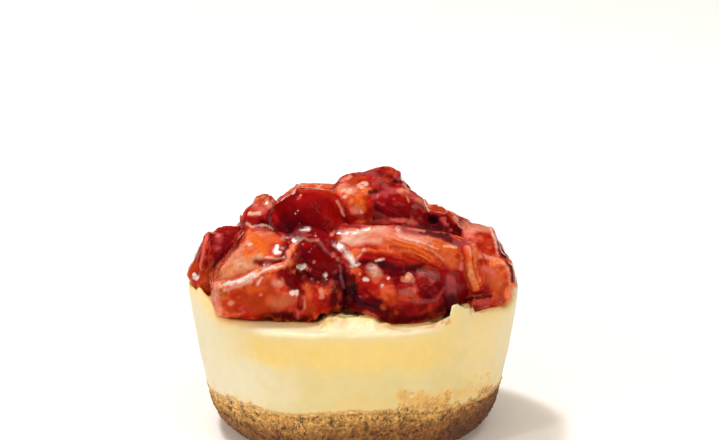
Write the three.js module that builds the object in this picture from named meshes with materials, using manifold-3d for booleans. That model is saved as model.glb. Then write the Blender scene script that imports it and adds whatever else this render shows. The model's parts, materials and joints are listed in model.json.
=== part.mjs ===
// A small cheesecake baked in a muffin cup and turned out: a crumb crust, a custard body with a raised
// rim, and a heap of baked peach and cherry pieces held together by thick red sauce.
// Millimetres, +Z up. The origin is the middle of the flat underside, and the front faces -Y.
import * as THREE from "three";
import { mergeVertices } from "three/addons/utils/BufferGeometryUtils.js";
import Module from "manifold-3d";

const wasm = await Module();
wasm.setup();

// Driving dimensions
const RIM_RADIUS = 35;
const RIM_HEIGHT = 30.5;
const WALL_TAPER = 0.2;
const WALL_BULGE = 0.6;
const FOOT_ROUND = 6;
const CRUST_HEIGHT = 8.8;
const CRUST_FRONT_RISE = 3.7;
const CRUST_RIGHT_RISE = 1.6;
const LIP_WIDTH = 4.2;
const LIP_HEIGHT = 1.1;
const DISH_DEPTH = 2.6;
const GAP = 0.3;
const CUT_FLATNESS = 0.9;
const LIP_ROUND = 0.7;
const BOXY = 3;
const SEGMENTS = 40;
const FOOT_STEPS = 4;

const FOOT_RADIUS = RIM_RADIUS - WALL_TAPER * RIM_HEIGHT;
const TURN = 2 * Math.PI;
const radians = THREE.MathUtils.degToRad;

// Smooth bump of height 1 around an azimuth in degrees, with a half width in degrees
function bump(azimuth, centre, width) {
  const away = Math.atan2(Math.sin(azimuth - radians(centre)), Math.cos(azimuth - radians(centre)));
  return Math.exp(-((away / radians(width)) ** 2));
}

// The cup's wall: a taper with a slight belly, and a rounded foot
function wallRadius(z) {
  const belly = WALL_BULGE * Math.sin((Math.PI * z) / RIM_HEIGHT);
  const taper = FOOT_RADIUS + WALL_TAPER * z + belly;
  if (z >= FOOT_ROUND) return taper;
  const drop = FOOT_ROUND - z;
  return taper - FOOT_ROUND + Math.sqrt(FOOT_ROUND ** 2 - drop ** 2);
}

// Where the crust ends on the wall: thicker at the front, and uneven
function crustEdge(azimuth) {
  const front = CRUST_FRONT_RISE * bump(azimuth, -88, 34);
  const right = CRUST_RIGHT_RISE * bump(azimuth, -25, 30);
  const uneven = 0.25 * Math.sin(5 * azimuth + 1) + 0.2 * Math.sin(9 * azimuth + 2.2);
  return CRUST_HEIGHT + front + right + uneven;
}

// The rim stands higher where the custard clung to the cup, and has one torn crest at the right front
function rimHeight(azimuth) {
  const clung = 2.4 * bump(azimuth, 16, 17) + 2.6 * bump(azimuth, -172, 15) + 1.3 * bump(azimuth, 105, 30);
  const torn = 3.3 * bump(azimuth, -54, 4.5) - 0.6 * bump(azimuth, -22, 9);
  const sunk = -1.0 * bump(azimuth, -128, 22);
  return RIM_HEIGHT + clung + torn + sunk + 0.2 * Math.sin(7 * azimuth);
}

// The custard's top: a narrow lip, then a shallow dish
function topHeight(share, azimuth) {
  const lip = 1 - LIP_WIDTH / RIM_RADIUS;
  const inner = THREE.MathUtils.smoothstep(share, lip, 1);
  const dish = DISH_DEPTH * (1 - THREE.MathUtils.smoothstep(share, 0.1, lip));
  const flat = RIM_HEIGHT - LIP_HEIGHT;
  return flat - dish + inner * (rimHeight(azimuth) - flat);
}

// A lathe whose profile changes with azimuth. profileAt gives [radius, height] at each of its steps, from the
// middle of the underside to the middle of the top
function turned(profileAt, steps, segments = SEGMENTS) {
  const line = Array.from({ length: steps + 1 }, (_, i) => new THREE.Vector2(Math.sin((Math.PI * i) / steps), i));
  const geometry = new THREE.LatheGeometry(line, segments);
  const { position, uv } = geometry.attributes;
  for (let i = 0; i < position.count; i++) {
    const azimuth = TURN * (uv.getX(i) % 1);
    const [radius, height] = profileAt(Math.round(uv.getY(i) * steps), azimuth);
    position.setXYZ(i, radius * Math.cos(azimuth), radius * Math.sin(azimuth), height);
  }
  return geometry;
}

function solidOf(geometry) {
  const plain = geometry.clone();
  plain.deleteAttribute("normal");
  plain.deleteAttribute("uv");
  const merged = mergeVertices(plain, 1e-3);
  const mesh = new wasm.Mesh({
    numProp: 3,
    vertProperties: merged.attributes.position.array,
    triVerts: new Uint32Array(merged.index.array),
  });
  return new wasm.Manifold(mesh);
}

function geometryOf(solid) {
  const mesh = solid.getMesh();
  const geometry = new THREE.BufferGeometry();
  geometry.setAttribute("position", new THREE.BufferAttribute(new Float32Array(mesh.vertProperties), 3));
  geometry.setIndex(new THREE.BufferAttribute(new Uint32Array(mesh.triVerts), 1));
  geometry.computeVertexNormals();
  return geometry;
}

// Largest body of a solid, since a cut can leave scraps
function largest(solid) {
  return solid.decompose().sort((a, b) => b.volume() - a.volume())[0];
}

// The crust's top is flat in the middle and meets its uneven edge outside
function crustTop(share, azimuth) {
  return CRUST_HEIGHT + (crustEdge(azimuth) - CRUST_HEIGHT) * share ** 3;
}

// Crust: flat underside, rounded foot, wall up to its uneven edge, and top
const CRUST_TOP_SHARES = [0.96, 0.7, 0];
const CRUST_STEPS = FOOT_STEPS + 2 + CRUST_TOP_SHARES.length;
function crustProfile(step, azimuth) {
  if (step === 0) return [0, 0];
  const foot = step - 1;
  if (foot <= FOOT_STEPS) {
    const z = FOOT_ROUND * (1 - Math.cos((Math.PI / 2) * (foot / FOOT_STEPS)));
    return [wallRadius(z), z];
  }
  const edge = crustEdge(azimuth);
  if (foot === FOOT_STEPS + 1) return [wallRadius(edge), edge];
  const share = CRUST_TOP_SHARES[foot - FOOT_STEPS - 2];
  return [wallRadius(edge) * share, crustTop(share, azimuth)];
}

// Custard: it follows the crust's top a gap above, then the wall, the lip and the dish. grow thickens it
const CUSTARD_UNDER_SHARES = [0, 0.7, 0.96];
const CUSTARD_WALL_SHARES = [0, 0.35, 0.7, 1];
const CUSTARD_TOP_SHARES = [0.985, 0.955, 0.92, 0.88, 0.75, 0.45, 0];
const CUSTARD_STEPS = CUSTARD_UNDER_SHARES.length + CUSTARD_WALL_SHARES.length + CUSTARD_TOP_SHARES.length - 1;
function custardProfile(step, azimuth, grow = 0) {
  const foot = crustEdge(azimuth) + GAP;
  const rim = rimHeight(azimuth);
  if (step < CUSTARD_UNDER_SHARES.length) {
    const share = CUSTARD_UNDER_SHARES[step];
    return [wallRadius(foot) * share, crustTop(share, azimuth) + GAP - grow];
  }
  const wall = step - CUSTARD_UNDER_SHARES.length;
  if (wall < CUSTARD_WALL_SHARES.length) {
    const z = foot + (rim - LIP_ROUND - foot) * CUSTARD_WALL_SHARES[wall];
    return [wallRadius(z) + grow, z];
  }
  const share = CUSTARD_TOP_SHARES[wall - CUSTARD_WALL_SHARES.length];
  return [wallRadius(rim) * share, topHeight(share, azimuth) + grow];
}

// Fruit is a rounded block: half gives its half sizes, turn its rotation about X, Y and Z in degrees, square
// how boxy it is, rough how lumpy and bend how far its ends droop. A cut is a plane that flattens one side: its
// outward direction, then its distance from the piece's middle.
function waves(point, seed, pitch) {
  let sum = 0;
  for (let i = 0; i < 4; i++) {
    const a = seed * 1.7 + i * 2.4;
    const along = point.x * Math.cos(a) + point.y * Math.sin(a) + point.z * Math.cos(2.3 * a + i);
    sum += Math.sin(pitch * (1 + 0.45 * i) * along + seed * 3.1 + i) / (1 + 0.6 * i);
  }
  return sum / 2.4;
}

function fruitGeometry(piece, gap) {
  const { at, half, turn = [0, 0, 0], cuts = [], bend = 0, square = 2.3, rough = 0.07, seed, detail = 2 } = piece;
  const geometry = new THREE.IcosahedronGeometry(1, detail);
  const { position } = geometry.attributes;
  const rotation = new THREE.Euler(...turn.map(radians), "ZYX");
  const p = new THREE.Vector3();
  const outward = new THREE.Vector3();
  for (let i = 0; i < position.count; i++) {
    p.fromBufferAttribute(position, i).normalize();
    const swell = 1 + rough * waves(p, seed, 3);
    const sum = Math.abs(p.x) ** square + Math.abs(p.y) ** square + Math.abs(p.z) ** square;
    p.multiplyScalar(swell * sum ** (-1 / square));
    p.z -= bend * (p.x ** 2 - 0.4);
    p.multiply(outward.set(...half)).applyEuler(rotation);
    for (const [x, y, z, distance] of cuts) {
      outward.set(x, y, z).normalize();
      const beyond = p.dot(outward) - distance;
      if (beyond > 0) p.addScaledVector(outward, -CUT_FLATNESS * beyond);
    }
    p.addScaledVector(outward.copy(p).normalize(), gap);
    position.setXYZ(i, p.x, p.y, p.z);
  }
  return geometry.translate(...at);
}

const PEACH_ORANGE = 0xd8632c;
const PEACH_RED = 0xa82a1c;
const CHERRY_RED = 0x7a0c10;

// The pieces, from the ones that keep their whole shape to the ones that give way
const FRUIT = {
  peach_bits_front: {
    at: [2.4, -18.8, 37.4], half: [4.2, 4.6, 3.8], seed: 109, rough: 0.12, colour: PEACH_ORANGE,
  },
  peach_sliver: {
    at: [24.0, -16.2, 38.6], half: [2.3, 3.0, 5.2], turn: [0, -8, 0], seed: 59, rough: 0.08,
    colour: PEACH_ORANGE,
  },
  peach_scrap_right: {
    at: [26.2, -15.4, 31.6], half: [4.2, 3.8, 2.4], turn: [0, 4, 20], seed: 61, colour: PEACH_RED,
  },
  peach_slice_front_right: {
    at: [9.8, -16.8, 42.2], half: [15.2, 5.4, 5.0], turn: [20, 9, 7], bend: 0.1, square: 2.6, seed: 3, detail: 3,
    cuts: [[-0.1, -0.66, 0.75, 4.0], [0, -1, -0.25, 4.4], [0.1, 0.3, 1, 4.2]], rough: 0.08, colour: PEACH_ORANGE,
  },
  peach_front_left: {
    at: [-19.2, -14.6, 36.7], half: [10.4, 11.4, 9.7], square: 3.2, seed: 5, detail: 3, rough: 0.05,
    cuts: [
      [-0.32, -0.49, 0.81, 7.0], [0, -1, -0.12, 10.2], [-1, -0.1, 0.15, 9.2], [-0.8, 0, 0.6, 6.8],
      [1, -0.3, 0.1, 9.7], [0.1, 0.2, 1, 8.1],
    ],
    colour: PEACH_ORANGE,
  },
  cherry_upper_left: {
    at: [-9.2, -10.4, 46.4], half: [7.9, 7.4, 7.7], square: 2.1, seed: 2, rough: 0.02, detail: 3,
    colour: CHERRY_RED,
  },
  cherry_front_right: {
    at: [17.0, -16.8, 35.8], half: [5.8, 5.6, 5.2], turn: [0, 14, 0], square: 2.3, seed: 107, rough: 0.05,
    colour: CHERRY_RED,
  },
  peach_front_right_low: {
    at: [9.1, -18.6, 33.1], half: [10.4, 7.0, 6.0], turn: [0, 3, 4], square: 2.4, seed: 8, detail: 3,
    rough: 0.06, colour: PEACH_RED,
  },
  peach_right: {
    at: [28.4, -10.4, 34.8], half: [4.4, 6.4, 5.4], turn: [0, 0, 14], square: 3.6, seed: 11, rough: 0.04,
    cuts: [[1, -0.1, 0.1, 4.0], [0.5, 0, 0.86, 4.6], [0.1, -1, 0, 5.2]], colour: PEACH_ORANGE,
  },
  peach_right_upper: {
    at: [25.7, -3.8, 39.6], half: [4.7, 5.6, 4.4], turn: [0, 14, -8], square: 3.4, seed: 13, rough: 0.05,
    cuts: [[1, 0, 0.2, 4.0], [0.2, -0.2, 1, 3.6]], colour: PEACH_RED,
  },
  peach_left: {
    at: [-26.6, -3.6, 36.6], half: [8.4, 7.6, 7.8], square: 3.4, seed: 17, rough: 0.04,
    cuts: [[-0.89, 0, 0.46, 5.4], [-0.1, -0.3, 1, 4.9], [0.25, -0.9, 0.3, 5.8], [-0.75, -0.6, 0.3, 5.9]],
    colour: PEACH_RED,
  },
  cherry_front: {
    at: [-6.6, -15.6, 40.4], half: [6.9, 7.0, 6.2], square: 2.2, seed: 19, rough: 0.05, colour: CHERRY_RED,
  },
  peach_front_centre: {
    at: [-7.6, -18.2, 33.6], half: [4.6, 6.6, 5.8], turn: [0, -6, 12], square: 2.8, seed: 23, rough: 0.09,
    colour: PEACH_ORANGE,
  },
  peach_top: {
    at: [6.4, 0.4, 50.8], half: [4.7, 5.2, 4.3], turn: [0, 20, 10], seed: 29, rough: 0.1,
    cuts: [[0.7, -0.1, 0.7, 3.6]], colour: PEACH_RED,
  },
  cherry_hollow: {
    at: [16.9, -5.2, 44.0], half: [5.1, 5.6, 4.0], turn: [0, 20, 0], square: 2.3, seed: 31, rough: 0.04,
    colour: CHERRY_RED, hollow: { at: [16.2, -10.6, 46.0], radius: 2.6 },
  },
  cherry_upper_right: {
    at: [9.2, -6.4, 47.6], half: [6.2, 5.8, 4.8], turn: [0, 20, -4], square: 2.3, seed: 37, rough: 0.05,
    colour: CHERRY_RED,
  },
  peach_upper_centre: {
    at: [-0.4, -6.6, 48.6], half: [4.6, 5.2, 5.0], turn: [0, 6, 0], square: 2.5, seed: 41, rough: 0.11,
    colour: PEACH_ORANGE,
  },
  peach_top_left: {
    at: [0.8, -0.4, 50.3], half: [5.1, 5.2, 3.9], turn: [0, -14, 0], seed: 43, rough: 0.08, colour: PEACH_RED,
  },
  peach_upper_left: {
    at: [-18.8, -3.2, 45.2], half: [4.5, 5.6, 4.8], turn: [0, -28, 0], seed: 47, rough: 0.1,
    colour: PEACH_RED,
  },
  peach_behind_cherry: {
    at: [-7.8, 0.6, 47.6], half: [6.8, 5.8, 4.6], seed: 53, rough: 0.08, colour: PEACH_ORANGE,
  },
  peach_back_right_small: {
    at: [22.0, 2.2, 40.2], half: [4.6, 5.4, 3.7], turn: [0, 24, 0], seed: 67, colour: PEACH_RED,
  },
  cherry_right: {
    at: [27.8, 3.4, 34.4], half: [4.8, 7.4, 5.0], turn: [0, 12, 8], square: 2.6, seed: 101, rough: 0.05,
    cuts: [[0.9, 0, 0.43, 4.2]], colour: CHERRY_RED,
  },
  peach_slice_back: {
    at: [-3.6, 17.2, 37.6], half: [14.2, 6.2, 6.0], turn: [-28, 4, -8], bend: 0.16, square: 2.6, seed: 71,
    cuts: [[0, 0.7, 0.7, 4.8], [0, 1, -0.2, 5.2]], rough: 0.07, colour: PEACH_ORANGE,
  },
  peach_back_left: {
    at: [-21.2, 10.4, 36.0], half: [9.0, 8.2, 7.2], turn: [0, -10, 34], square: 3.2, seed: 73,
    cuts: [[-0.5, 0.5, 0.7, 5.6], [-0.7, 0.7, -0.1, 7.2]], rough: 0.05, colour: PEACH_ORANGE,
  },
  peach_back_right: {
    at: [16.2, 15.4, 36.2], half: [9.4, 7.6, 6.8], turn: [8, 12, -36], square: 3, seed: 79,
    cuts: [[0.4, 0.6, 0.6, 5.2]], rough: 0.06, colour: PEACH_RED,
  },
  cherry_back: {
    at: [5.4, 9.0, 45.6], half: [7.2, 6.8, 6.4], square: 2.1, seed: 83, rough: 0.03, colour: CHERRY_RED,
  },
  peach_back_upper_left: {
    at: [-11.4, 8.4, 44.2], half: [6.8, 6.2, 5.2], turn: [-14, -12, 20], seed: 89, rough: 0.08,
    colour: PEACH_RED,
  },
  peach_back_upper_right: {
    at: [15.6, 5.6, 42.0], half: [5.2, 5.4, 4.4], turn: [0, 20, 0], seed: 97, rough: 0.08,
    colour: PEACH_ORANGE,
  },
  cherry_back_low: {
    at: [2.6, 23.4, 33.0], half: [5.6, 5.0, 4.6], square: 2.2, seed: 103, rough: 0.03, colour: CHERRY_RED,
  },
};

// Sauce: a low dome that fills the heap between and under the fruit
const SAUCE = { at: [0, 0.5, 30], half: [29, 19.5, 16], square: 2.5, seed: 7, rough: 0.04, detail: 3 };

const part = new THREE.Group();
function addNode(name, solid, colour, roughness) {
  const material = new THREE.MeshStandardMaterial({ color: colour, roughness, metalness: 0 });
  const mesh = new THREE.Mesh(geometryOf(solid), material);
  mesh.name = name;
  part.add(mesh);
}

addNode("crust", solidOf(turned(crustProfile, CRUST_STEPS)), 0xa8763f, 0.95);
addNode("custard", solidOf(turned(custardProfile, CUSTARD_STEPS)), 0xefd596, 0.7);

// What a piece takes away from its neighbours: a copy grown by the gap. A round piece's copy is coarser, so it
// grows by the depth of its facets too
function roomFor(piece) {
  const { half, square = 2.3, detail = 2 } = piece;
  if (square >= BOXY) return solidOf(fruitGeometry(piece, 1.3 * GAP));
  const facetDepth = (0.32 * Math.max(...half)) / detail ** 2;
  return solidOf(fruitGeometry({ ...piece, detail: detail - 1 }, GAP + facetDepth));
}

const custardRoom = (step, azimuth) => custardProfile(step, azimuth, GAP + 0.2);
let taken = solidOf(turned(custardRoom, CUSTARD_STEPS, (3 / 4) * SEGMENTS));
for (const [name, piece] of Object.entries(FRUIT)) {
  let solid = solidOf(fruitGeometry(piece, 0));
  if (piece.hollow) {
    const ball = new THREE.IcosahedronGeometry(piece.hollow.radius, 2).translate(...piece.hollow.at);
    solid = solid.subtract(solidOf(ball));
  }
  addNode(name, largest(solid.subtract(taken)), piece.colour, 0.25);
  taken = taken.add(roomFor(piece));
}
addNode("sauce", largest(solidOf(fruitGeometry(SAUCE, 0)).subtract(taken)), 0x5c0a12, 0.1);

export default part;
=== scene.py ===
"""Looks for a small baked cheesecake: a crumb crust, a custard body, and a heap of peach and cherry pieces in
red sauce. Everything is in metres in the CAD frame: +Z up, the origin in the middle of the underside, and the
front towards -Y."""
import json
import math

import bmesh
import bpy
import numpy as np
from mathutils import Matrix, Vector
from mathutils.bvhtree import BVHTree


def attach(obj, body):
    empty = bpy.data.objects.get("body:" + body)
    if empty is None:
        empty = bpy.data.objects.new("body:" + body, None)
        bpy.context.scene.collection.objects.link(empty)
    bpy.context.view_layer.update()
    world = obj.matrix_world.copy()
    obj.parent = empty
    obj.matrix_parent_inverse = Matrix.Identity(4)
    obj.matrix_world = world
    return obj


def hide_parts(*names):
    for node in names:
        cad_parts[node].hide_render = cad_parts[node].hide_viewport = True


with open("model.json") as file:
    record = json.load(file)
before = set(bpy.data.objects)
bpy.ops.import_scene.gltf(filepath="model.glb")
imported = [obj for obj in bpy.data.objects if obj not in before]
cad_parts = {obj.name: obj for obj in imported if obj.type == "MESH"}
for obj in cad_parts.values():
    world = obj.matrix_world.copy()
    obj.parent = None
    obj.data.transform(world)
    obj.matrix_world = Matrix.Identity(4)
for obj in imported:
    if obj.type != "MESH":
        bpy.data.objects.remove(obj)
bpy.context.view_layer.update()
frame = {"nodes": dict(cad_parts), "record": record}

MM = 0.001
BODY = "root"

# Camera, fitted to the photograph: it stands straight ahead, looks down at this pitch and is slightly turned
IMAGE_WIDTH, IMAGE_HEIGHT = 719, 440
FOCAL_PIXELS = 2341.5
SENSOR_MM = 36
CAMERA_PLACE = np.array([0, -474.7, 172.0]) * MM
CAMERA_PITCH = math.radians(15.066)
CAMERA_YAW = math.radians(0.147)
LEVEL = np.array([math.sin(CAMERA_YAW), math.cos(CAMERA_YAW), 0])
FORWARD = math.cos(CAMERA_PITCH) * LEVEL - np.array([0, 0, math.sin(CAMERA_PITCH)])
RIGHT = np.array([math.cos(CAMERA_YAW), -math.sin(CAMERA_YAW), 0])
UPWARD = np.cross(RIGHT, FORWARD)


def unit(x, y, z):
    return np.array([x, y, z]) / math.hypot(x, y, z)


# Lights, each square and aimed at the middle of the cake, in metres and watts. The spark is the key's middle
LIT_PLACE = np.array([0, 0, 30]) * MM
KEY_DIRECTION = unit(-0.30, 0.22, 0.93)
WARM = (1, 0.93, 0.83)
LIGHTS = {
    "key": {"direction": KEY_DIRECTION, "distance": 1.2, "size": 0.3, "power": 5.0},
    "spark": {"direction": KEY_DIRECTION, "distance": 1.18, "size": 0.125, "power": 4.4},
    "fill": {"direction": unit(-0.56, -0.62, 0.55), "distance": 1.2, "size": 0.11, "power": 2.9},
    "side": {"direction": unit(0.85, -0.4, 0.4), "distance": 1.2, "size": 0.5, "power": 1.6},
    "soft": {"direction": unit(0.30, -0.38, 0.87), "distance": 1.2, "size": 0.36, "power": 2.2,
             "colour": WARM},
}

# Size of the little cubes that each skin is made from
FRUIT_VOXEL = 0.38 * MM
SAUCE_VOXEL = 0.5 * MM
CUSTARD_VOXEL = 0.52 * MM
CRUST_VOXEL = 0.36 * MM

# Odd factors that scramble a lattice point and a seed, and the bits that are kept on the way and at the end
POINT_FACTORS = (374761393, 668265263, 2147483647, 1274126177)
SCRAMBLES = ((13, 1103515245), (16, 1597334677))
LAST_SHIFT = 15
KEPT_BITS = 0xFFFFFFFF
VALUE_BITS = 0xFFFFFF


def lattice_value(ix, iy, iz, seed):
    """One value from 0 to 1 for each whole-number lattice point, the same in each run."""
    h = sum(factor * number for factor, number in zip(POINT_FACTORS, (ix, iy, iz, seed))) & KEPT_BITS
    for shift, factor in SCRAMBLES:
        h = ((h ^ (h >> shift)) * factor) & KEPT_BITS
    return ((h ^ (h >> LAST_SHIFT)) & VALUE_BITS) / VALUE_BITS


def value_noise(points, size, seed):
    """Smooth noise from -1 to 1 at each point, with bumps about size across."""
    scaled = points / size
    low = np.floor(scaled).astype(np.int64)
    part = scaled - low
    part = part * part * part * (part * (part * 6 - 15) + 10)
    total = np.zeros(len(points))
    for corner in range(8):
        bits = np.array([corner & 1, (corner >> 1) & 1, (corner >> 2) & 1])
        share = np.prod(np.where(bits, part, 1 - part), axis=1)
        at = low + bits
        total += share * lattice_value(at[:, 0], at[:, 1], at[:, 2], seed)
    return 2 * total - 1


def rotation_about(axis, angle):
    x, y, z = np.array(axis) / np.linalg.norm(axis)
    c, s = math.cos(angle), math.sin(angle)
    cross = np.array([[0, -z, y], [z, 0, -x], [-y, x, 0]])
    return c * np.eye(3) + s * cross + (1 - c) * np.outer([x, y, z], [x, y, z])


# Turns between the layers of noise, so that their lattices don't line up
TWIST = [rotation_about((1, 2, 3), 0.7), rotation_about((3, -1, 2), 1.9), rotation_about((-2, 3, 1), 2.6)]


def fractal(points, size, seed, octaves=3):
    """Noise with finer and weaker layers on top."""
    total = np.zeros(len(points))
    weight = 1.0
    for octave in range(octaves):
        turned = points @ TWIST[octave % len(TWIST)]
        total += weight * value_noise(turned, size / 2.1**octave, seed + 17 * octave)
        weight *= 0.5
    return total / (2 - 0.5 ** (octaves - 1))


def creases(points, size, seed):
    """Sharp ridges from 0 to 1, with rounded valleys between them."""
    return 1 - np.abs(fractal(points, size, seed, 2)) * 2.2


def cells(points, size, seed):
    """Distances from each point to the two nearest scattered cell centres, and a value for its own cell."""
    scaled = points / size
    low = np.floor(scaled).astype(np.int64)
    first = np.full(len(points), 9.0)
    second = np.full(len(points), 9.0)
    value = np.zeros(len(points))
    for step in np.ndindex(3, 3, 3):
        at = low + np.array(step) - 1
        jitter = [lattice_value(at[:, 0], at[:, 1], at[:, 2], seed + k) for k in (0, 1, 2)]
        away = np.linalg.norm(at + np.stack(jitter, axis=1) - scaled, axis=1)
        second = np.minimum(second, np.maximum(first, away))
        nearer = away < first
        value = np.where(nearer, lattice_value(at[:, 0], at[:, 1], at[:, 2], seed + 3), value)
        first = np.minimum(first, away)
    return first * size, second * size, value


def smoothstep(low, high, x):
    """A soft ramp from 0 at low to 1 at high, which may be the smaller of the two."""
    t = np.clip((x - low) / (high - low), 0, 1)
    return t * t * (3 - 2 * t)


# Colours
def linear(red, green, blue):
    """Linear colour from 0 to 255 display values."""
    shown = np.array([red, green, blue]) / 255
    return np.where(shown <= 0.04045, shown / 12.92, ((shown + 0.055) / 1.055) ** 2.4)


def colours_of(table):
    """Linear colours by name from display values by name."""
    return {name: linear(*shown) for name, shown in table.items()}


def mix(a, b, share):
    share = np.asarray(share)[..., None]
    return a * (1 - share) + b * share


# Mesh arrays
def numbers_of(items, key, width, kind=np.float64):
    """One row of numbers for each item of a mesh."""
    flat = np.empty(len(items) * width, dtype=kind)
    items.foreach_get(key, flat)
    return flat.reshape(-1, width)


def indices_of(items, key):
    """One whole number for each item of a mesh."""
    return numbers_of(items, key, 1, np.int32).ravel()


def placed(name, data):
    """A new object in the scene."""
    obj = bpy.data.objects.new(name, data)
    bpy.context.scene.collection.objects.link(obj)
    return obj


def relaxed(places, edges, rounds, strength=0.5):
    """Moves each point towards the mean of its neighbours."""
    count = np.bincount(edges.ravel(), minlength=len(places)).astype(float)
    ends = np.concatenate([edges[:, 0], edges[:, 1]])
    others = np.concatenate([edges[:, 1], edges[:, 0]])
    for _ in range(rounds):
        mean = np.stack([np.bincount(ends, places[others, k], len(places)) for k in range(3)], axis=1)
        places = places + strength * (mean / count[:, None] - places)
    return places


def joined(objects, name):
    """One new mesh object from copies of several."""
    points, corners, sizes, start = [], [], [], 0
    for obj in objects:
        mesh = obj.data
        points.append(numbers_of(mesh.vertices, "co", 3))
        corners.append(start + indices_of(mesh.loops, "vertex_index"))
        sizes.append(indices_of(mesh.polygons, "loop_total"))
        start += len(mesh.vertices)
    points, corners, sizes = np.concatenate(points), np.concatenate(corners), np.concatenate(sizes)
    mesh = bpy.data.meshes.new(name)
    mesh.vertices.add(len(points))
    mesh.vertices.foreach_set("co", points.ravel())
    mesh.loops.add(len(corners))
    mesh.loops.foreach_set("vertex_index", corners)
    mesh.polygons.add(len(sizes))
    mesh.polygons.foreach_set("loop_start", np.cumsum(sizes) - sizes)
    mesh.update(calc_edges=True)
    return placed(name, mesh)


def largest_shell(mesh):
    """Deletes all but the biggest connected part of a mesh."""
    edges = numbers_of(mesh.edges, "vertices", 2, np.int32)
    label = np.arange(len(mesh.vertices))
    settled = False
    while not settled:
        lower = np.minimum(label[edges[:, 0]], label[edges[:, 1]])
        new = label.copy()
        np.minimum.at(new, edges[:, 0], lower)
        np.minimum.at(new, edges[:, 1], lower)
        new = new[new]
        settled = np.array_equal(new, label)
        label = new
    biggest = np.bincount(label).argmax()
    cleaner = bmesh.new()
    cleaner.from_mesh(mesh)
    cleaner.verts.ensure_lookup_table()
    extra = [cleaner.verts[i] for i in np.flatnonzero(label != biggest)]
    bmesh.ops.delete(cleaner, geom=extra, context="VERTS")
    cleaner.to_mesh(mesh)
    cleaner.free()


class Skin:
    """A fine closed skin round copies of some objects, whose points can be moved, painted and dressed."""

    def __init__(self, objects, name, voxel):
        self.piece = joined(objects, name)
        modifier = self.piece.modifiers.new("skin", "REMESH")
        modifier.mode = "VOXEL"
        modifier.voxel_size = voxel
        graph = bpy.context.evaluated_depsgraph_get()
        self.mesh = bpy.data.meshes.new_from_object(self.piece.evaluated_get(graph))
        self.piece.modifiers.clear()
        rough = self.piece.data
        self.piece.data = self.mesh
        bpy.data.meshes.remove(rough)
        self.mesh.name = name
        largest_shell(self.mesh)
        self.read()

    def read(self):
        self.mesh.shade_smooth()
        self.edges = numbers_of(self.mesh.edges, "vertices", 2, np.int32)
        self.move(numbers_of(self.mesh.vertices, "co", 3))

    def move(self, places):
        self.places = places
        self.mesh.vertices.foreach_set("co", np.ascontiguousarray(places).ravel())
        self.mesh.update()
        self.normals = numbers_of(self.mesh.vertices, "normal", 3)

    def relax(self, rounds, share=1.0):
        smooth = relaxed(self.places, self.edges, rounds)
        self.move(self.places + np.reshape(share, (-1, 1)) * (smooth - self.places))

    def push(self, heights):
        """Moves each point out along its normal."""
        self.move(self.places + self.normals * heights[:, None])

    def radius(self):
        """Distance of each point from the axis of the cake."""
        return np.hypot(self.places[:, 0], self.places[:, 1])

    def angle(self):
        """Angle of each point round the axis of the cake."""
        return np.arctan2(self.places[:, 1], self.places[:, 0])

    def spread(self, values):
        """Values for the points that the camera sees as values for all points, 0 elsewhere."""
        share = np.zeros(len(self.places))
        share[self.seen] = values
        return share

    def noise(self, size, seed, octaves=3):
        """Noise at each point, with bumps about this many millimetres across."""
        return fractal(self.places, size * MM, seed, octaves)

    def refine(self):
        """Splits each face that the camera sees whole into four."""
        seen = self.spread(1)
        corners = indices_of(self.mesh.loops, "vertex_index")
        sides = indices_of(self.mesh.loops, "edge_index")
        starts = indices_of(self.mesh.polygons, "loop_start")
        sizes = indices_of(self.mesh.polygons, "loop_total")
        whole = np.repeat(np.minimum.reduceat(seen[corners], starts), sizes) > 0
        fine = bmesh.new()
        fine.from_mesh(self.mesh)
        fine.edges.ensure_lookup_table()
        split = [fine.edges[i] for i in np.unique(sides[whole])]
        bmesh.ops.subdivide_edges(fine, edges=split, cuts=1, use_grid_fill=True)
        fine.to_mesh(self.mesh)
        fine.free()
        self.read()

    def mark(self, name, values):
        """Keeps a number for each point, which a material reads by this name."""
        attribute = self.mesh.attributes.new(name, "FLOAT", "POINT")
        attribute.data.foreach_set("value", np.ascontiguousarray(values, dtype=np.float32))

    def paint(self, colours):
        self.colours = np.clip(colours, 0, 1)
        attribute = self.mesh.color_attributes.new("paint", "FLOAT_COLOR", "POINT")
        rgba = np.ones((len(colours), 4), dtype=np.float32)
        rgba[:, :3] = self.colours
        attribute.data.foreach_set("color", rgba.ravel())

    def dress(self, material, slot, node):
        self.mesh.materials.clear()
        self.mesh.materials.append(material)
        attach(self.piece, BODY)
        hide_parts(node)

    def tree(self):
        return BVHTree.FromObject(self.piece, bpy.context.evaluated_depsgraph_get())

    def hollows(self, rounds):
        """How far the smoothed surface lies over each point: above 0 in a hollow, below it on a ridge."""
        smooth = relaxed(self.places, self.edges, rounds)
        return ((smooth - self.places) * self.normals).sum(axis=1)


# Pixels to a side of the cells in which the nearest surface is sought. A point is seen less plainly the
# further it lies behind that surface and the more it faces away
SIGHT_CELL = 2
SEEN_DEPTH = (1.8 * MM, 0.9 * MM)
SEEN_FACING = (0.02, 0.25)
# Size of the ragged edge of wide strokes and of fine ones, and the half width in pixels that divides them
WOBBLE_SIZE = 1.8 * MM
FLUTTER_SIZE = 0.7 * MM
WIDE_STROKE = 4


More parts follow.
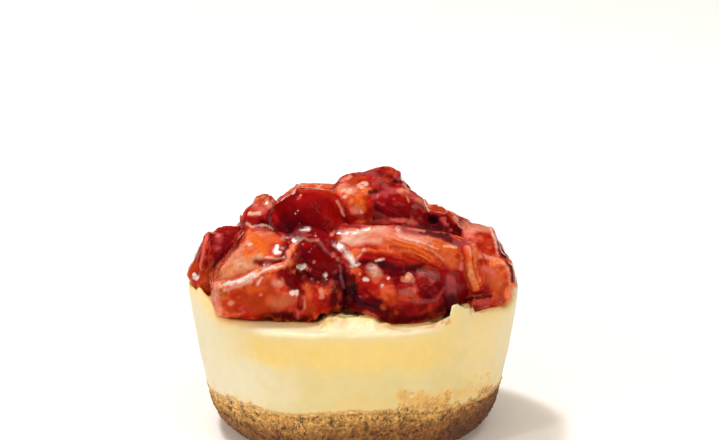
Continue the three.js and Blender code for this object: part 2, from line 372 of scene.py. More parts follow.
def look(skins):
    """Finds what the camera sees of each skin: those points, their pixels and, from 0 to 1, how plainly."""
    nearest = np.full((IMAGE_HEIGHT // SIGHT_CELL + 1, IMAGE_WIDTH // SIGHT_CELL + 1), np.inf)
    for skin in skins:
        offset = skin.places - CAMERA_PLACE
        skin.away = offset @ FORWARD
        skin.column = IMAGE_WIDTH / 2 + FOCAL_PIXELS * (offset @ RIGHT) / skin.away
        skin.row = IMAGE_HEIGHT / 2 - FOCAL_PIXELS * (offset @ UPWARD) / skin.away
        cells_of = ((skin.row, IMAGE_HEIGHT), (skin.column, IMAGE_WIDTH))
        skin.cell = tuple((at / SIGHT_CELL).astype(int).clip(0, most // SIGHT_CELL) for at, most in cells_of)
        np.minimum.at(nearest, skin.cell, skin.away)
    for skin in skins:
        skin.hidden = skin.away - nearest[skin.cell]
        front = smoothstep(*SEEN_DEPTH, skin.hidden) * smoothstep(*SEEN_FACING, -(skin.normals @ FORWARD))
        skin.seen = np.flatnonzero(front)
        skin.front = front[skin.seen]
        skin.pixels = np.stack([skin.column, skin.row], axis=1)[skin.seen]
        skin.wobble = fractal(skin.places[skin.seen], WOBBLE_SIZE, 77, 3)
        skin.flutter = fractal(skin.places[skin.seen], FLUTTER_SIZE, 78, 2)


def points_of(path):
    """A path's columns and rows, one pair to a row."""
    return np.array(path, dtype=float).reshape(-1, 2)


def path_distance(pixels, points):
    """Distance in pixels from each pixel place to a path of one point or more."""
    best = np.linalg.norm(pixels - points[0], axis=1)
    for start, end in zip(points[:-1], points[1:]):
        along = end - start
        share = np.clip((pixels - start) @ along / (along @ along), 0, 1)
        best = np.minimum(best, np.linalg.norm(pixels - start - share[:, None] * along, axis=1))
    return best


def stroke(skin, width, path, ragged=0.0, core=0.5):
    """The points that a stroke of this half width covers, and how much, from 0 to 1: whole in its core."""
    points = points_of(path)
    reach = width * (1 + ragged)
    inside = (skin.pixels > points.min(axis=0) - reach) & (skin.pixels < points.max(axis=0) + reach)
    near = np.flatnonzero(inside.all(axis=1))
    ruffle = skin.wobble if width > WIDE_STROKE else skin.flutter
    edge = path_distance(skin.pixels[near], points) / width + ragged * ruffle[near]
    return skin.seen[near], skin.front[near] * smoothstep(1.0, core, edge)


def touch(skin, width, path, ragged=0.0, core=0.5):
    """The same as one number for each point of the skin."""
    share = np.zeros(len(skin.places))
    covered, amount = stroke(skin, width, path, ragged, core)
    share[covered] = amount
    return share


def strongest(skin, entries, ragged):
    """For each point, the strongest of some touches: strength, half width and path."""
    best = np.zeros(len(skin.places))
    for strength, width, path in entries:
        best = np.maximum(best, strength * touch(skin, width, path, ragged))
    return best


def raised(skin, entries, start=0):
    """Start and the heights of some touches together: height in millimetres, half width and path."""
    return sum((height * MM * touch(skin, width, path) for height, width, path in entries), start)


# Materials
class Nodes:
    """Short way to build the node tree of a material or world round its last node."""

    def __init__(self, owner, last):
        owner.use_nodes = True
        self.owner = owner
        self.tree = owner.node_tree
        self.last = self.tree.nodes[last]

    def feed(self, socket, value):
        if isinstance(value, bpy.types.NodeSocket):
            self.tree.links.new(value, socket)
        else:
            socket.default_value = value

    def fill(self, node, inputs):
        for key, value in inputs.items():
            self.feed(node.inputs[key.replace("_", " ")], value)
        return node

    def set(self, **inputs):
        """Fills the sockets of the last node."""
        self.fill(self.last, inputs)

    def add(self, kind, settings=None, **inputs):
        node = self.tree.nodes.new(kind)
        for key, value in (settings or {}).items():
            setattr(node, key, value)
        return self.fill(node, inputs)

    def arithmetic(self, kind, operation, *values):
        """A node of arithmetic, filled from its first socket on."""
        node = self.add(kind, {"operation": operation})
        for socket, value in zip(node.inputs, values):
            self.feed(socket, value)
        return node.outputs

    def plus(self, a, b):
        return self.arithmetic("ShaderNodeMath", "ADD", a, b)["Value"]

    def times(self, colour, other):
        """One colour times another."""
        return self.arithmetic("ShaderNodeVectorMath", "MULTIPLY", colour, other)["Vector"]

    def scaled(self, colour, amount):
        """A colour times a grey amount."""
        node = self.add("ShaderNodeVectorMath", {"operation": "SCALE"}, Scale=amount)
        self.feed(node.inputs[0], colour)
        return node.outputs["Vector"]

    def attribute(self, name, output="Fac"):
        return self.add("ShaderNodeAttribute", {"attribute_name": name}).outputs[output]

    def place(self, output="Object"):
        return self.add("ShaderNodeTexCoord").outputs[output]

    def noise(self, scale, detail=3.0, roughness=0.6):
        """Noise from 0 to 1, with this many bumps to a metre."""
        inputs = {"Vector": self.place(), "Scale": scale, "Detail": detail, "Roughness": roughness}
        return self.add("ShaderNodeTexNoise", **inputs).outputs["Fac"]

    def range(self, value, low, high, new_low, new_high, kind="LINEAR"):
        """New low up to where the value is low, new high from where it is high, and between them a ramp."""
        inputs = {"Value": value, "From_Min": low, "From_Max": high, "To_Min": new_low, "To_Max": new_high}
        settings = {"clamp": True, "interpolation_type": kind}
        return self.add("ShaderNodeMapRange", settings, **inputs).outputs["Result"]

    def mixed(self, a, b, share):
        """One colour fading into another."""
        node = self.add("ShaderNodeMix", {"data_type": "RGBA"})
        self.feed(node.inputs[0], share)
        for socket, colour in zip([socket for socket in node.inputs if socket.type == "RGBA"], (a, b)):
            self.feed(socket, colour if isinstance(colour, bpy.types.NodeSocket) else (*colour, 1))
        return next(socket for socket in node.outputs if socket.type == "RGBA")

    def bump(self, height, distance, strength=1.0):
        node = self.add("ShaderNodeBump", Height=height, Distance=distance, Strength=strength)
        return node.outputs["Normal"]


def material_nodes(name):
    return Nodes(bpy.data.materials.new(name), "Principled BSDF")


# The glaze mirrors the small lights strongly and the studio faintly
GLAZE_IOR = 1.22
# Flesh is mottled between these shares of its paint
FLESH_SHADE = (0.85, 0.68, 0.64)
FLESH_SHINE = (1.08, 1.22, 1.22)
CRUMB_PALE = linear(238, 186, 100)
CRUMB_DARK = linear(172, 112, 56)


def crumb_colour(nodes):
    """The painted colour as crumbs of several sizes, light and dark, with short dark cracks between them."""
    grain = nodes.range(nodes.noise(1300, 4, 0.8), 0.38, 0.62, 0.5, 1.55)
    colour = nodes.scaled(nodes.attribute("paint", "Color"), grain)
    line = nodes.arithmetic("ShaderNodeMath", "COMPARE", nodes.noise(480, 4, 0.7), 0.5, 0.017)["Value"]
    crack = nodes.range(nodes.noise(260, 2), 0.47, 0.57, 0, line)
    hole = nodes.range(nodes.noise(800, 3, 0.7), 0.35, 0.4, 0.9, 0)
    return nodes.mixed(nodes.mixed(colour, CRUST["pit"], hole), CRUST["pit"], crack)


def custard_material():
    """Pale custard, with crumbs in it where it is marked, and nothing but crumbs where they lie thickest."""
    nodes = material_nodes("baked_custard")
    mottle = nodes.range(nodes.noise(450, 4), 0.3, 0.7, 0.97, 1.02)
    custard = nodes.scaled(nodes.attribute("paint", "Color"), mottle)
    density = nodes.attribute("crumbs")
    speck = nodes.plus(nodes.noise(1100, 4, 0.65), nodes.range(density, 0, 1, -0.3, 0.42))
    crumb = nodes.mixed(CRUMB_DARK, CRUMB_PALE, nodes.range(nodes.noise(1900, 3, 0.7), 0.35, 0.65, 0, 1))
    specks = nodes.range(speck, 0.48, 0.62, 0, nodes.range(density, 0, 0.8, 0.45, 1))
    custard = nodes.mixed(custard, crumb, specks)
    custard = nodes.mixed(custard, crumb_colour(nodes), nodes.range(density, 0.6, 0.9, 0, 1))
    nodes.set(Base_Color=custard, Roughness=0.5)
    nodes.set(Subsurface_Weight=0.25, Subsurface_Scale=1.2 * MM, Subsurface_Radius=(1.0, 0.7, 0.35))
    pores = nodes.range(nodes.noise(1400, 2), 0.42, 0.6, 0, 1)
    nodes.set(Normal=nodes.bump(pores, 0.04 * MM, 0.4))
    return nodes.owner


def crust_material():
    nodes = material_nodes("baked_crumbs")
    nodes.set(Base_Color=crumb_colour(nodes), Roughness=0.85)
    nodes.set(Normal=nodes.bump(nodes.noise(1300, 4, 0.8), 0.3 * MM, 0.9))
    return nodes.owner


def fruit_material():
    """Wet flesh: rough under the glaze where it is torn, marked as grain, and with less glaze where dry."""
    nodes = material_nodes("glazed_fruit")
    grain = nodes.attribute("grain")
    paint = nodes.attribute("paint", "Color")
    fine = nodes.range(nodes.noise(1300, 4, 0.7), 0.38, 0.62, 0, 1)
    flesh = nodes.mixed(nodes.times(paint, FLESH_SHADE), nodes.times(paint, FLESH_SHINE), fine)
    nodes.set(Base_Color=flesh, Roughness=0.45, Specular_IOR_Level=0.0)
    nodes.set(Subsurface_Weight=0.14, Subsurface_Scale=0.7 * MM, Subsurface_Radius=(1.0, 0.35, 0.15))
    nodes.set(Coat_Weight=nodes.attribute("wet"), Coat_Roughness=0.05, Coat_IOR=GLAZE_IOR)
    nodes.set(Normal=nodes.bump(nodes.noise(1500, 3, 0.65), 0.1 * MM, nodes.range(grain, 0, 1, 0.15, 0.8)))
    nodes.set(Coat_Normal=nodes.bump(nodes.noise(900, 3, 0.6), 0.1 * MM, nodes.range(grain, 0, 1, 0.3, 0.6)))
    return nodes.owner


def sauce_material():
    nodes = material_nodes("red_sauce")
    nodes.set(Base_Color=nodes.attribute("paint", "Color"), Roughness=0.3, Specular_IOR_Level=0.0)
    nodes.set(Subsurface_Weight=0.12, Subsurface_Scale=0.8 * MM, Subsurface_Radius=(1.0, 0.2, 0.1))
    nodes.set(Coat_Weight=nodes.attribute("wet"), Coat_Roughness=0.035, Coat_IOR=GLAZE_IOR)
    nodes.set(Coat_Normal=nodes.bump(nodes.noise(800, 3, 0.6), 0.1 * MM, 0.25))
    return nodes.owner


def floor_material():
    """Pale floor, painted faintly warm beside the cake as painted bounce light, and glowing faintly to pale
    its shadow.
    """
    nodes = material_nodes("pale_floor")
    away = nodes.arithmetic("ShaderNodeVectorMath", "LENGTH", nodes.place())["Value"]
    colour = nodes.mixed(FLOOR_BOUNCE_TINT, FLOOR_FAR, nodes.range(away, *FLOOR_FADE, 0, 1))
    tone = nodes.range(nodes.noise(3, 2), 0.3, 0.7, 0.985, 1.0)
    nodes.set(Base_Color=nodes.scaled(colour, tone), Roughness=0.7)
    nodes.set(Emission_Color=FLOOR_GLOW, Emission_Strength=1.0)
    return nodes.owner


# Nothing nearer the middle than this belongs to the outer wall
WALL_RADIUS = 24 * MM

# Crust
CRUMB_SIZE = 0.9 * MM
CRUST = colours_of({
    "sandy": (219, 169, 92),
    "brown": (153, 101, 47),
    "dark": (108, 64, 38),
    "pit": (66, 36, 20),
    "gold": (236, 190, 104),
})


def crumb_paint(skin, line):
    """Baked crumbs: sandy beside the custard, darker towards the foot and, as painted shade, towards the
    right, with dark pits.
    """
    x = skin.places[:, 0]
    # Painted shade: the crumbs are painted darker towards the right, the side away from the key light
    depth = -height_over(skin, line) + 1.0 * MM * smoothstep(16 * MM, 26 * MM, x)
    patches = 0.25 * skin.noise(6, 5) + 0.3 * skin.noise(1.3, 6, 2)
    right = smoothstep(10 * MM, 30 * MM, x) * smoothstep(0, 3 * MM, depth)
    darkened_and_shaded = smoothstep(-0.5 * MM, 7 * MM, depth) + 0.75 * right + patches
    colour = mix(CRUST["sandy"], CRUST["brown"], np.clip(1.6 * darkened_and_shaded, 0, 1))
    colour = mix(colour, CRUST["dark"], np.clip(1.4 * darkened_and_shaded - 1, 0, 1))
    return mix(colour, CRUST["pit"], 0.7 * crumb_pits(skin))


def crumb_pits(skin):
    """How deep each point lies in a pit between crumbs, from 0 to 1."""
    return smoothstep(0.2, 0.55, skin.noise(0.9, 8, 2) + 0.25 * skin.noise(5, 9, 2))


def crumb_relief(skin):
    """Height of the crumbs over the smooth wall: flat-topped lumps with gaps between them, and pits."""
    first, second, value = cells(skin.places, CRUMB_SIZE, 11)
    chunks = 0.24 * MM * (value - 0.5) + 0.12 * MM * smoothstep(0, 0.3 * MM, second - first)
    return chunks + 0.1 * MM * skin.noise(0.8, 3, 2) - 0.22 * MM * crumb_pits(skin)


def make_crust():
    crust = Skin([frame["nodes"]["crust"]], "crumb_crust", CRUST_VOXEL)
    line = line_round(crust)
    crust.relax(6)
    side = smoothstep(WALL_RADIUS, WALL_RADIUS + 3 * MM, crust.radius())
    side = side * smoothstep(0.1 * MM, 1.2 * MM, crust.places[:, 2])
    crust.push(side * crumb_relief(crust))
    crust.push(0.35 * MM * smoothstep(0.3, 0.8, crust.normals[:, 2]))
    crust.places[:, 2] = np.maximum(crust.places[:, 2], 0)
    crust.move(crust.places)
    crust.paint(crumb_paint(crust, line))
    crust.dress(crust_material(), "crumb_crust", "crust")
    return line


def line_round(skin, steps=72):
    """Highest edge of a skin at each of some angles round the middle, as a function of angle."""
    side = skin.radius() > WALL_RADIUS
    index = ((skin.angle() / math.tau) % 1 * steps).astype(int) % steps
    highest = np.zeros(steps)
    np.maximum.at(highest, index[side], skin.places[side, 2])
    middles = (np.arange(steps) + 0.5) / steps * math.tau
    return lambda at: np.interp(at, middles, highest, period=math.tau)


def height_over(skin, line):
    """Height of each point over a line round the cake."""
    return skin.places[:, 2] - line(skin.angle())


# Custard
CUSTARD = colours_of({
    "pale": (225, 207, 144),
    "gold": (238, 207, 118),
    # cream: painted light on the sides; lip: painted light on the upturned lip
    "cream": (233, 224, 192),
    "lip": (239, 222, 180),
    "baked": (240, 196, 110),
    # stain: juice stain, and also painted contact shade where the heap meets the custard
    "stain_and_shade": (206, 142, 76),
    "juice": (246, 214, 134),
    "olive": (214, 180, 96),
    "blush": (176, 88, 66),
    "toast": (220, 164, 70),
})
CRUMB_FADE = 1.5 * MM
LIP_FROM = 20 * MM
# The torn flap and its neighbours: height in millimetres, half width in pixels, sharpness of edge and path
CUSTARD_RELIEF = [
    (-1.0, 5, 0.5, (435, 321, 442, 318)),
    (-1.5, 4, 0.5, (445, 317, 447, 312)),
    (2.0, 9, 0.7, (458, 313, 466, 313)),
    (0.8, 9, 0.3, (476, 316, 496, 312)),
    (3.1, 14, 0.0, (330, 322, 368, 322)),
    (1.0, 8, 0.0, (374, 327, 386, 328)),
    (1.9, 9, 0.0, (200, 297, 214, 303)),
]
# Where crumbs climb higher up the wall: strength, half width and path
CRUMB_DRIFTS = [
    (0.42, 11, (216, 402, 230, 406, 246, 411)), (0.22, 12, (218, 396, 250, 404)),
    (0.42, 11, (402, 404, 412, 396, 430, 399, 448, 407)), (0.2, 9, (330, 408, 384, 406)),
    (0.66, 6, (456, 413, 466, 408, 478, 401, 492, 391)), (0.34, 9, (456, 396, 470, 388, 488, 380)),
]
# Where juice has coloured the custard: colour, strength, half width and path. The stain and olive drifts
# along the heap's foot are also painted contact shade
JUICE_DRIFTS = [
    ("baked", 0.8, 14, (402, 398, 412, 402, 442, 400)), ("toast", 0.6, 9, (402, 394, 410, 402)),
    ("toast", 0.45, 9, (420, 401, 446, 405)), ("baked", 0.5, 9, (456, 394, 474, 390)),
    ("toast", 0.3, 7, (458, 393, 472, 389)), ("juice", 0.6, 36, (486, 322, 480, 384)),
    ("baked", 0.6, 8, (478, 392, 490, 386)), ("baked", 0.35, 14, (222, 404, 250, 408)),
    ("baked", 0.25, 16, (340, 406, 384, 404)), ("stain_and_shade", 0.3, 7, (314, 322, 330, 319, 344, 320)),
    ("olive", 0.8, 9, (320, 322, 332, 321, 342, 319)), ("stain_and_shade", 0.9, 5, (193, 283, 203, 290, 212, 297)),
    ("stain_and_shade", 0.8, 4, (470, 307, 482, 310, 494, 308, 504, 304)),
    ("stain_and_shade", 0.8, 5, (384, 326, 404, 328, 424, 327, 446, 322)), ("stain_and_shade", 0.9, 4, (434, 325, 447, 321)),
    ("blush", 0.95, 7, (509, 262, 513, 272, 515, 283)), ("olive", 0.3, 6, (190, 285, 212, 298)),
]


def make_custard(line):
    custard = Skin([frame["nodes"]["custard"]], "custard_body", CUSTARD_VOXEL)
    custard.relax(6)
    custard.relax(24, smoothstep(26 * MM, 27.5 * MM, custard.places[:, 2]))
    custard.push(0.3 * MM * smoothstep(-0.2, -0.7, custard.normals[:, 2]))
    custard.push(0.1 * MM * custard.noise(3, 31))
    custard.push(0.12 * MM * smoothstep(1.2 * MM, 0, height_over(custard, line)))
    look([custard])
    upright = smoothstep(0.4, 0.1, np.abs(custard.normals[:, 2]))
    foot = smoothstep(3 * MM, 0, height_over(custard, line)) * upright
    custard.push(foot * crumb_relief(custard))
    for height, width, core, path in CUSTARD_RELIEF:
        lift = touch(custard, width, path, 0.15, core) * (1 + 0.12 * custard.noise(1.5, 32, 2))
        custard.places[:, 2] += height * MM * lift
    custard.move(custard.places)
    return custard


def crumbs_in(custard, line):
    """How thickly crumbs lie in the foot of the custard, from 0 to 1."""
    look([custard])
    height = height_over(custard, line) / CRUMB_FADE / (1 + 0.7 * custard.noise(9, 23, 2))
    outside = smoothstep(WALL_RADIUS, WALL_RADIUS + 2 * MM, custard.radius())
    drifts = sum(strength * touch(custard, width, path, 0.9) for strength, width, path in CRUMB_DRIFTS)
    return outside * np.clip(smoothstep(1.5, -0.1, height) + drifts, 0, 1)


def finish_custard(custard, line, over_heap):
    """Paints the custard: golden under the rim, painted light on sides and lip, juice stain and painted shade
    near the heap.
    """
    x, _, z = custard.places.T
    mottle = custard.noise(6, 21)
    fine = custard.noise(1.5, 22, 2)
    gold = smoothstep(19 * MM, 25 * MM, z + 2 * MM * mottle)
    gold = gold * smoothstep(30 * MM, 14 * MM, np.abs(x + 2 * MM))
    # Painted light: the custard is painted paler towards its sides
    cream = 0.9 * smoothstep(10 * MM, 32 * MM, np.abs(x - 6 * MM)) + 0.5 * mottle
    colour = mix(CUSTARD["pale"], CUSTARD["cream"], np.clip(cream, 0, 1))
    colour = mix(colour, CUSTARD["gold"], np.clip(gold + 0.25 * mottle + 0.1 * fine, 0, 1))
    # Painted light: the upturned top of the rim is painted paler
    lip = smoothstep(-0.3, 0.6, custard.normals[:, 2]) * smoothstep(LIP_FROM, LIP_FROM + 6 * MM, z)
    colour = mix(colour, CUSTARD["lip"], lip)
    crumbs = crumbs_in(custard, line)
    colour = mix(colour, CRUST["gold"], 0.5 * smoothstep(0.15, 0.7, crumbs))
    for tint, strength, width, path in JUICE_DRIFTS:
        colour = mix(colour, CUSTARD[tint], strength * touch(custard, width, path, 0.8, 0.0))
    colour = mix(colour, crumb_paint(custard, line), smoothstep(0.55, 0.95, crumbs))
    top = np.flatnonzero(z > LIP_FROM)
    distance = np.full(len(z), 1.0)
    distance[top] = measure(custard.places[top], over_heap, FAR_REACH)[0]
    distance = distance + 0.8 * MM * mottle + 0.5 * MM * fine
    # Juice stains the custard near the heap; the darkest band, closest to it, is also painted contact shade
    colour = mix(colour, CUSTARD["juice"], 0.6 * smoothstep(4.0 * MM, 1.0 * MM, distance))
    colour = mix(colour, CUSTARD["baked"], 0.5 * smoothstep(1.8 * MM, 0.3 * MM, distance))
    colour = mix(colour, CUSTARD["stain_and_shade"], 0.4 * smoothstep(0.6 * MM, 0, distance))
    custard.mark("crumbs", crumbs)
    custard.paint(colour)
    custard.dress(custard_material(), "custard", "custard")


# Fruit
FIRST_SEED = 100
SEED_STEP = 13
FLESH = {
    "peach_orange": (linear(240, 146, 84), linear(214, 80, 34)),
    "peach_red": (linear(212, 92, 54), linear(164, 32, 22)),
    "cherry": (linear(176, 22, 14), linear(100, 4, 12)),
}


def slot_of(node):
    return next(entry["material_slot"] for entry in frame["record"]["subparts"] if entry["node"] == node)


def long_axis(places):
    """Direction in which the points spread most."""
    _, vectors = np.linalg.eigh(np.cov((places - places.mean(axis=0)).T))
    return vectors[:, -1]


def fibres(fruit):
    """Fine ridges along a piece of fruit, from 0 to 1."""
    across = fruit.places - 0.85 * np.outer(fruit.places @ fruit.axis, fruit.axis)
    return creases(across, 1.5 * MM, fruit.seed + 3)


def make_fruit(node, seed):
    """A piece of fruit round its solid: a cherry is smooth, and a piece of peach is lumpy and creased."""
    fruit = Skin([frame["nodes"][node]], "glazed_" + node, FRUIT_VOXEL)
    fruit.node = node
    fruit.seed = seed
    fruit.slot = slot_of(node)
    fruit.axis = long_axis(fruit.places)
    if fruit.slot == "cherry":
        fruit.relax(24)
        fruit.push(0.3 * MM + 0.2 * MM * fruit.noise(5, seed, 2))
    else:
        fruit.relax(5)
        lumps = 0.4 * MM * fruit.noise(4, seed) + 0.16 * MM * creases(fruit.places, 2.2 * MM, seed + 4)
        fruit.push(0.08 * MM + lumps + 0.12 * MM * fibres(fruit))
    return fruit


def flesh_paint(fruit):
    pale, deep = FLESH[fruit.slot]
    patches = 0.7 * fruit.noise(5, fruit.seed + 5)
    blotches = patches + 0.5 * fruit.noise(1.6, fruit.seed + 6)
    if fruit.slot == "cherry":
        # A cherry is painted lighter towards its top: painted light shining through it
        low, high = fruit.places[:, 2].min(), fruit.places[:, 2].max()
        tone = 0.15 + 0.5 * blotches + 0.8 * smoothstep(0.5, 1.0, (fruit.places[:, 2] - low) / (high - low))
    else:
        tone = 0.45 + blotches + 0.5 * (fibres(fruit) - 0.5)
    return mix(deep, pale, np.clip(tone, 0, 1))


# Sauce: a red film that takes away green and blue first, and looks nearly black where it is deep
SAUCE_LOSS = np.array([0.55, 2.0, 1.7]) / MM
SAUCE_BODY = linear(62, 5, 14)
FILM = 0.13 * MM
FILM_LIMITS = (0.01 * MM, 0.8 * MM)
# How much deeper the film is for each length of hollow under it, and how hollows and wide gullies are shaded
HOLLOW_FILM = 2.6
HOLLOW_SHADE = 0.4 * MM
GULLY_SHADE = 0.6
# Sauce that clings where a piece comes out of it, how soon it thins out above that and how far it reaches
SAUCE_EDGE = 0.22 * MM
EDGE_FADE = 0.4 * MM
EDGE_REACH = 1.5 * MM
# How far down through the sauce, and how far from the heap, a surface is looked for
FAR_REACH = 6 * MM


def through_sauce(colours, depth):
    """What shows of a colour under this depth of sauce."""
    kept = np.exp(-depth[:, None] * SAUCE_LOSS)
    return SAUCE_BODY + (colours - SAUCE_BODY) * kept


def film_over(skin):
    """Depth of the thin film of sauce on everything: in patches, and deeper in hollows than on ridges."""
    patches = 1 + 1.3 * skin.noise(5, 51) + 1.0 * skin.noise(1.7, 52)
    return np.clip(FILM * patches + HOLLOW_FILM * skin.hollows(14), *FILM_LIMITS)


def measure(places, tree, reach):
    """Signed distance from each place to a surface, at most reach, and the nearest face's number, or -1."""
    distance = np.full(len(places), reach)
    faces = np.full(len(places), -1)
    for i, place in enumerate(places.tolist()):
        near, normal, face, away = tree.find_nearest(place, reach)
        if near is not None:
            distance[i] = away if (Vector(place) - near).dot(normal) > 0 else -away
            faces[i] = face
    return distance, faces


def make_sauce(fruit):
    sauce = Skin([frame["nodes"]["sauce"]] + [f.piece for f in fruit], "red_sauce", SAUCE_VOXEL)
    sauce.relax(36)
    cover = 0.16 * MM + 0.34 * MM * sauce.noise(7, 41)
    ripples = 0.2 * MM * creases(sauce.places, 3.2 * MM, 43) + 0.07 * MM * sauce.noise(1.2, 44, 2)
    sauce.push(cover + ripples)
    sauce.relax(1)
    return sauce


# Brush colours for what the photograph shows on the heap: fruit and sauce, and painted highlights,
# reflections and shade
TINTS = colours_of({
    # painted highlight: white glints painted into the colour where the glaze mirrors a light
    "frost": (255, 228, 218),
    # cream, salmon, pink and rose: pale flesh, and also painted highlights, reflections and lit rims along
    # ridges and edges
    "cream": (233, 184, 162),
    "beige": (216, 176, 142),
    "tan": (202, 124, 82),
    "salmon": (216, 130, 104),
    "pink": (218, 104, 90),
    "rose": (184, 66, 66),
    # painted reflection: the milky sheen of a soft light mirrored in dark sauce
    "mauve": (150, 70, 72),
    "plum": (66, 16, 26),
    "bright": (218, 96, 28),
    "orange": (208, 90, 48),
    "rust": (175, 58, 18),
    # ember: red flesh, and also the painted glow of light through a cherry's top rim
    "ember": (172, 28, 10),
    "red": (154, 13, 11),
    # deep, maroon, black and plum: dark sauce, and also painted shade under and between the pieces
    "deep": (112, 2, 6),
    "maroon": (78, 1, 9),
    "black": (42, 5, 14),
})
